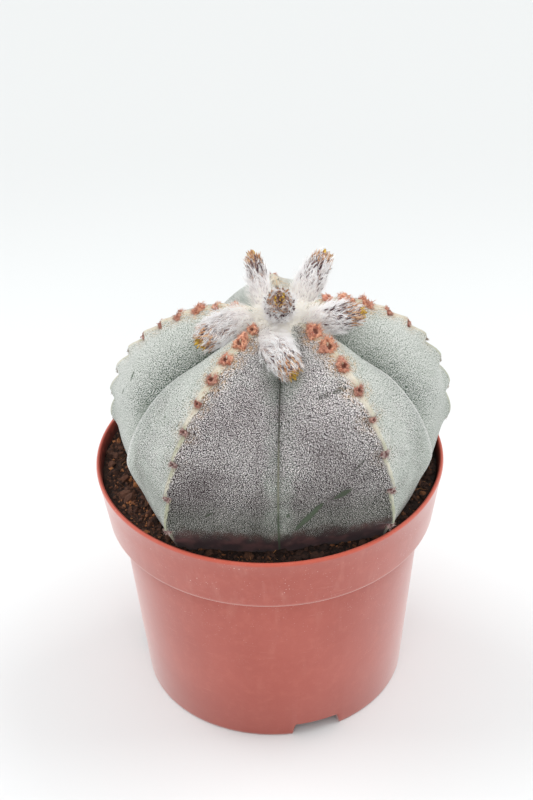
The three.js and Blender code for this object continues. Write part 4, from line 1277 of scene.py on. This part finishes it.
def scaleMaterial():
    material, shader, place = newMaterial("budScales", {"Specular IOR Level": 0.25})
    share = attribute(place, "leafShare", 2)
    mottle = place.noise(1.3, 2, 0.6)
    base = mottle.ramp(0.4, 0.6).blend((0.42, 0.19, 0.085), (0.66, 0.45, 0.30))
    point = mottle.ramp(0.42, 0.62).blend((0.045, 0.022, 0.030), (0.15, 0.070, 0.070))
    tan = attribute(place, "toMouth", 2).ramp(0.60, 0.86) * 0.8 + mottle.swing(0.8)
    colour = (tan - share * 0.35).ramp(0.05, 0.45).blend(point, base)
    feed(shader, colour=colour, rough=0.6 + mottle * 0.2)
    return material


def petalMaterial():
    material, shader, place = newMaterial("petalTips", {"Specular IOR Level": 0.3})
    share = attribute(place, "leafShare", 2)
    mottle = place.noise(1.1, 3, 0.6)
    colour = layered(
        mottle.ramp(0.35, 0.65).blend((0.58, 0.34, 0.040), (0.76, 0.56, 0.11)),
        ((share + mottle.swing(1.4)).ramp(0.74, 1.0), (0.14, 0.060, 0.03)),
        (share.ramp(0.5, 0.2), (0.16, 0.075, 0.025)),
        (mottle.ramp(0.50, 0.62) * 0.75, (0.30, 0.14, 0.055)),
    )
    feed(shader, colour=colour, rough=0.55 + mottle * 0.2, normal=bump(mottle, 0.4, 0.0002))
    return material


def woolMaterial(name, root, tip, cream):
    material, shader, place = newMaterial(name, {
        "Specular IOR Level": 0.3, "Sheen Weight": 0.8, "Sheen Roughness": 0.5,
        "Emission Color": (1, 0.98, 0.96, 1), "Emission Strength": 0.10,  # light that the wool lets through
    })
    share = attribute(place, "tipShare", 2)
    along = attribute(place, "along", 2)
    clump = place.noise(0.42, 2, 0.5)
    strand = place.noise(2.6, 1, 0.5)
    root = along.ramp(0.25, 0.6).blend(root, tuple(value * 0.72 for value in root))
    colour = (share + clump.swing(0.5)).ramp(0.0, 0.45).blend(root, tip)
    creamy = strand.ramp(0.45, 0.7) * 0.3 + (along + clump.swing(0.3)).ramp(0.42, 0.12) * 0.55
    colour = creamy.clamped().blend(colour, cream)
    feed(shader, colour=colour, rough=0.55 + strand * 0.25)
    return material


def budCoreMaterial():
    material, shader, place = newMaterial("budFelt", {"Specular IOR Level": 0.1, "Sheen Weight": 0.2})
    along = attribute(place, "along", 2)
    mottle = place.noise(1.2, 3, 0.6)
    felt = mottle.ramp(0.35, 0.65).blend((0.52, 0.47, 0.48), (0.88, 0.85, 0.85))
    tip = mottle.ramp(0.42, 0.58).blend((0.10, 0.055, 0.060), (0.40, 0.26, 0.20))
    colour = (along + mottle.swing(0.4)).ramp(0.28, 0.58).blend(felt, tip)
    feed(shader, colour=colour, rough=0.8 + mottle * 0.15, normal=bump(mottle, 0.7, 0.0004))
    return material


scaleFinish, petalFinish = scaleMaterial(), petalMaterial()
budHairFinish = woolMaterial("budHair", (0.78, 0.74, 0.75), (0.99, 0.98, 0.99), (0.97, 0.92, 0.84))
coreFinish = budCoreMaterial()


# places on a bud's curved axis, and the directions ahead, across and over it
def bezier(bud, along):
    foot, tip = np.array(bud[0]), np.array(bud[1])
    middle = mixed(foot, tip, budForm["bend"]) + [0, 0, bud[2]]
    share = np.asarray(along, float)[..., None]
    place = (1 - share) ** 2 * foot + 2 * share * (1 - share) * middle + share ** 2 * tip
    forward = unit(2 * (1 - share) * (middle - foot) + 2 * share * (tip - middle))
    across = unit(np.cross(forward, [0.13, 0.31, 1]))
    return place + plantPlace, forward, across, unit(np.cross(across, forward))


def budRadius(bud, along):
    steps = np.linspace(0, 1, len(budForm["girths"]))
    return bud[3] * np.interp(along, steps, budForm["girths"])


def makeCore(name, index, bud):
    sides, rings = budForm["sides"], budForm["rings"]
    along = np.linspace(0, budForm["coreEnd"], rings)
    place, forward, across, over = bezier(bud, along)
    turns = np.linspace(0, fullTurn, sides, endpoint=False)
    spoke = across[:, None] * np.cos(turns)[None, :, None] + over[:, None] * np.sin(turns)[None, :, None]
    radius = (budRadius(bud, along) * bud[4])[:, None]
    lump = 1 + 0.05 * np.sin(3 * turns[None] + along[:, None] * 9 + index)
    lump = lump + 0.03 * np.sin(7 * turns[None] - 14 * along[:, None])
    ring = place[:, None] + spoke * (radius * lump)[..., None]
    points = closed(ring, place[0] - forward[0] * 0.6, place[-1] + forward[-1] * 0.5)
    core = newPiece(name + "_core", points, ringFaces(rings, sides), [coreFinish])
    ahead = unit(np.concatenate([ring[1:], ring[-1:] + (ring[-1:] - ring[-2:-1])]) - ring)
    flow = unit(ahead + unit(np.cross(spoke, ahead)) * 0.12)
    grid = np.repeat(along[:, None], sides, 1)
    mark(
        core, flow=closed(flow, forward[0], forward[-1]), along=closed(grid, 0.0, 1.0),
        thick=closed(np.interp(grid, [0, 0.6, 0.84, 0.9], [1, 1, 0.55, 0.05]), 0.5, 0.0),
        long=closed(np.interp(grid, [0, 0.5, 0.82, 0.9], [1.05, 1, 0.55, 0.25]), 0.6, 0.2),
    )
    faceOutward(core)
    return core


# scales in a spiral, their points free of the wool, and a ring of longer ones open round the mouth
def makeScales(name, index, bud, rng):
    share, scaleFrom, scaleCount, hairLong = bud[4:]
    spiral = int(scaleCount * budForm["scaleShare"])
    count = spiral + budForm["mouthScales"]
    where = mixed(scaleFrom, budForm["scalesTo"], np.clip(np.arange(count) / spiral, 0, 1) ** 0.7)
    mouth = np.arange(count) >= spiral
    where[mouth] = rng.uniform(*budForm["mouthAt"], mouth.sum())
    turn = np.arange(count) * budForm["scaleTurn"] + rng.uniform(-0.2, 0.2, count)
    at, ahead, side, up = bezier(bud, where)
    out = side * np.cos(turn)[:, None] + up * np.sin(turn)[:, None]
    felt = budRadius(bud, where) * share
    inFelt = felt * rng.uniform(*budForm["inFelt"], count)
    inHair = felt + rng.uniform(*budForm["inHair"], count) * hairLong * 0.24
    leans = [rng.uniform(*budForm[name], count) for name in ("mouthLean", "scaleLean")]
    lean = np.where(mouth, *leans)
    base = newPiece(name + "_scaleSeats", at + out * np.where(mouth, inFelt, inHair)[:, None], [], [])
    long = np.where(mouth, 0.95, np.interp(where, [0.4, 0.75, 1], [0.75, 0.95, 0.9]))
    mark(base, flow=unit(ahead + out * lean[:, None]), rise=out, toMouth=where, long=long)
    values = {"Size": budForm["scaleSize"], "Uneven": 0.32, "Seed": 7 + index, "Finish": scaleFinish}
    scales = grown(seatTree, base, name + "_scales", values)
    bpy.data.objects.remove(base)
    return scales


# petals pressed together in the mouth
def makePetals(name, index, bud, rng):
    points, faces, shares = [], [], []
    end, forward, side, up = (part[-1] for part in bezier(bud, np.array([0.0, budForm["coreEnd"]])))
    shape, sheet = leafPoints(*budForm["petal"])
    for k in range(budForm["petals"]):
        turn = k * budForm["petalTurn"] + index
        out = side * math.cos(turn) + up * math.sin(turn)
        wide = np.cross(forward, out)
        reach = math.sqrt((k + 0.5) / budForm["petals"])
        origin = end + out * reach * bud[3] * bud[4] * budForm["petalSpread"] - forward * budForm["petalSunk"]
        lean = forward + out * (rng.uniform(*budForm["petalLean"]) - budForm["petalInward"] * reach)
        lean = unit(lean + wide * rng.uniform(*budForm["petalTwist"]))
        long = rng.uniform(*budForm["petalLong"]) * (1.05 - 0.2 * reach)
        start = len(points)
        faces += [[corner + start for corner in face] for face in sheet]
        for x, y, z in shape:
            points.append(origin + (wide * x + lean * y + unit(out) * (z - 0.1)) * long)
            shares.append(min(max(y, 0), 1))
    petals = newPiece(name + "_mouth", points, faces, [petalFinish])
    mark(petals, leafShare=shares)
    faceOutward(petals)
    return petals


def makeBud(index, bud):
    name = f"bud_{index + 1}"
    rng = np.random.default_rng(60 + index)
    core = makeCore(name, index, bud)
    values = {**budHair, "Length": bud[7] * mm, "Seed": 40 + index, "Finish": budHairFinish}
    hairs = grown(hairTree, core, name + "_hair", values)
    scales = makeScales(name, index, bud, rng)
    petals = makePetals(name, index, bud, rng)
    dress(name, "bud_wool", core, hairs, scales)
    dress(name + "_petals", "petal_tips", petals)


for index, bud in enumerate(buds):
    makeBud(index, bud)
bpy.data.objects.remove(scaleLeaf)
print("buds")


# wool in the crown
wool = {
    "place": (-0.8, -0.4), "radius": 8.2, "height": 5.4, "depth": 3, "sides": 60, "rings": 22,
    "tuft": 1.3, "fine": 0.5,  # how far the tufts and the fine lumps stand out
}
crownHair = {
    "Density": 4.5e6, "Length": 0.0052, "Thickness": 0.00007, "Lay": 0.55, "Rise": 0.75, "Spread": 0.5,
    "Wave": 0.0046, "Wave Size": 330.0, "Bend": 0.0012, "Tufts": 3.6e5, "Tuft Pull": 0.85,
    "Tuft Spread": 0.6, "Seed": 90,
}


def makeWool():
    middle = plantPlace + [*wool["place"], plant["crown"]]
    rise = np.array([0, 0, 1.0])
    # a row for each point: place, flow, long and thick
    rows = [(middle + rise * wool["height"], rise, 1.0, 1.0)]
    for ring in range(1, wool["rings"] + 1):
        share = ring / wool["rings"]
        for k in range(wool["sides"]):
            turn = fullTurn * k / wool["sides"]
            out = np.array([math.cos(turn), math.sin(turn), 0])
            tuft = noise.noise(Vector((out[0] * share * 3.1, out[1] * share * 3.1, 2.0)))
            fine = noise.noise(Vector((out[0] * share * 9, out[1] * share * 9, 5.0)))
            dome = wool["height"] * math.sqrt(1 - (share * 0.93) ** 2)
            dome = dome + tuft * wool["tuft"] * (1 - share * 0.4) + fine * wool["fine"]
            place = middle + out * wool["radius"] * share * (1 + 0.08 * tuft * share) + [0, 0, dome]
            flow = unit(out * 0.7 + np.array([-out[1], out[0], 0]) * 0.5)
            rows.append((place, flow, 1.0, 1.0))
    # the last ring again, sunk in the plant, where no hair grows
    for row in rows[-wool["sides"]:]:
        low = np.array([row[0][0], row[0][1], plant["crown"] - wool["depth"]])
        rows.append((low, rise, 0.5, 0.0))
    rows.append((middle - rise * wool["depth"], rise, 0.5, 0.0))
    points, flow, long, thick = zip(*rows)
    finish = woolMaterial("crownWool", (0.80, 0.75, 0.68), (0.98, 0.96, 0.92), (0.97, 0.93, 0.84))
    piece = newPiece("crownFelt", points, ringFaces(wool["rings"] + 1, wool["sides"]), [finish])
    mark(piece, flow=flow, thick=thick, long=long, tipShare=np.full(len(points), 0.25))
    faceOutward(piece)
    hairs = grown(hairTree, piece, "crownHair", {**crownHair, "Finish": finish})
    dress("crown_wool", "crown_wool", piece, hairs)


makeWool()
print("wool")
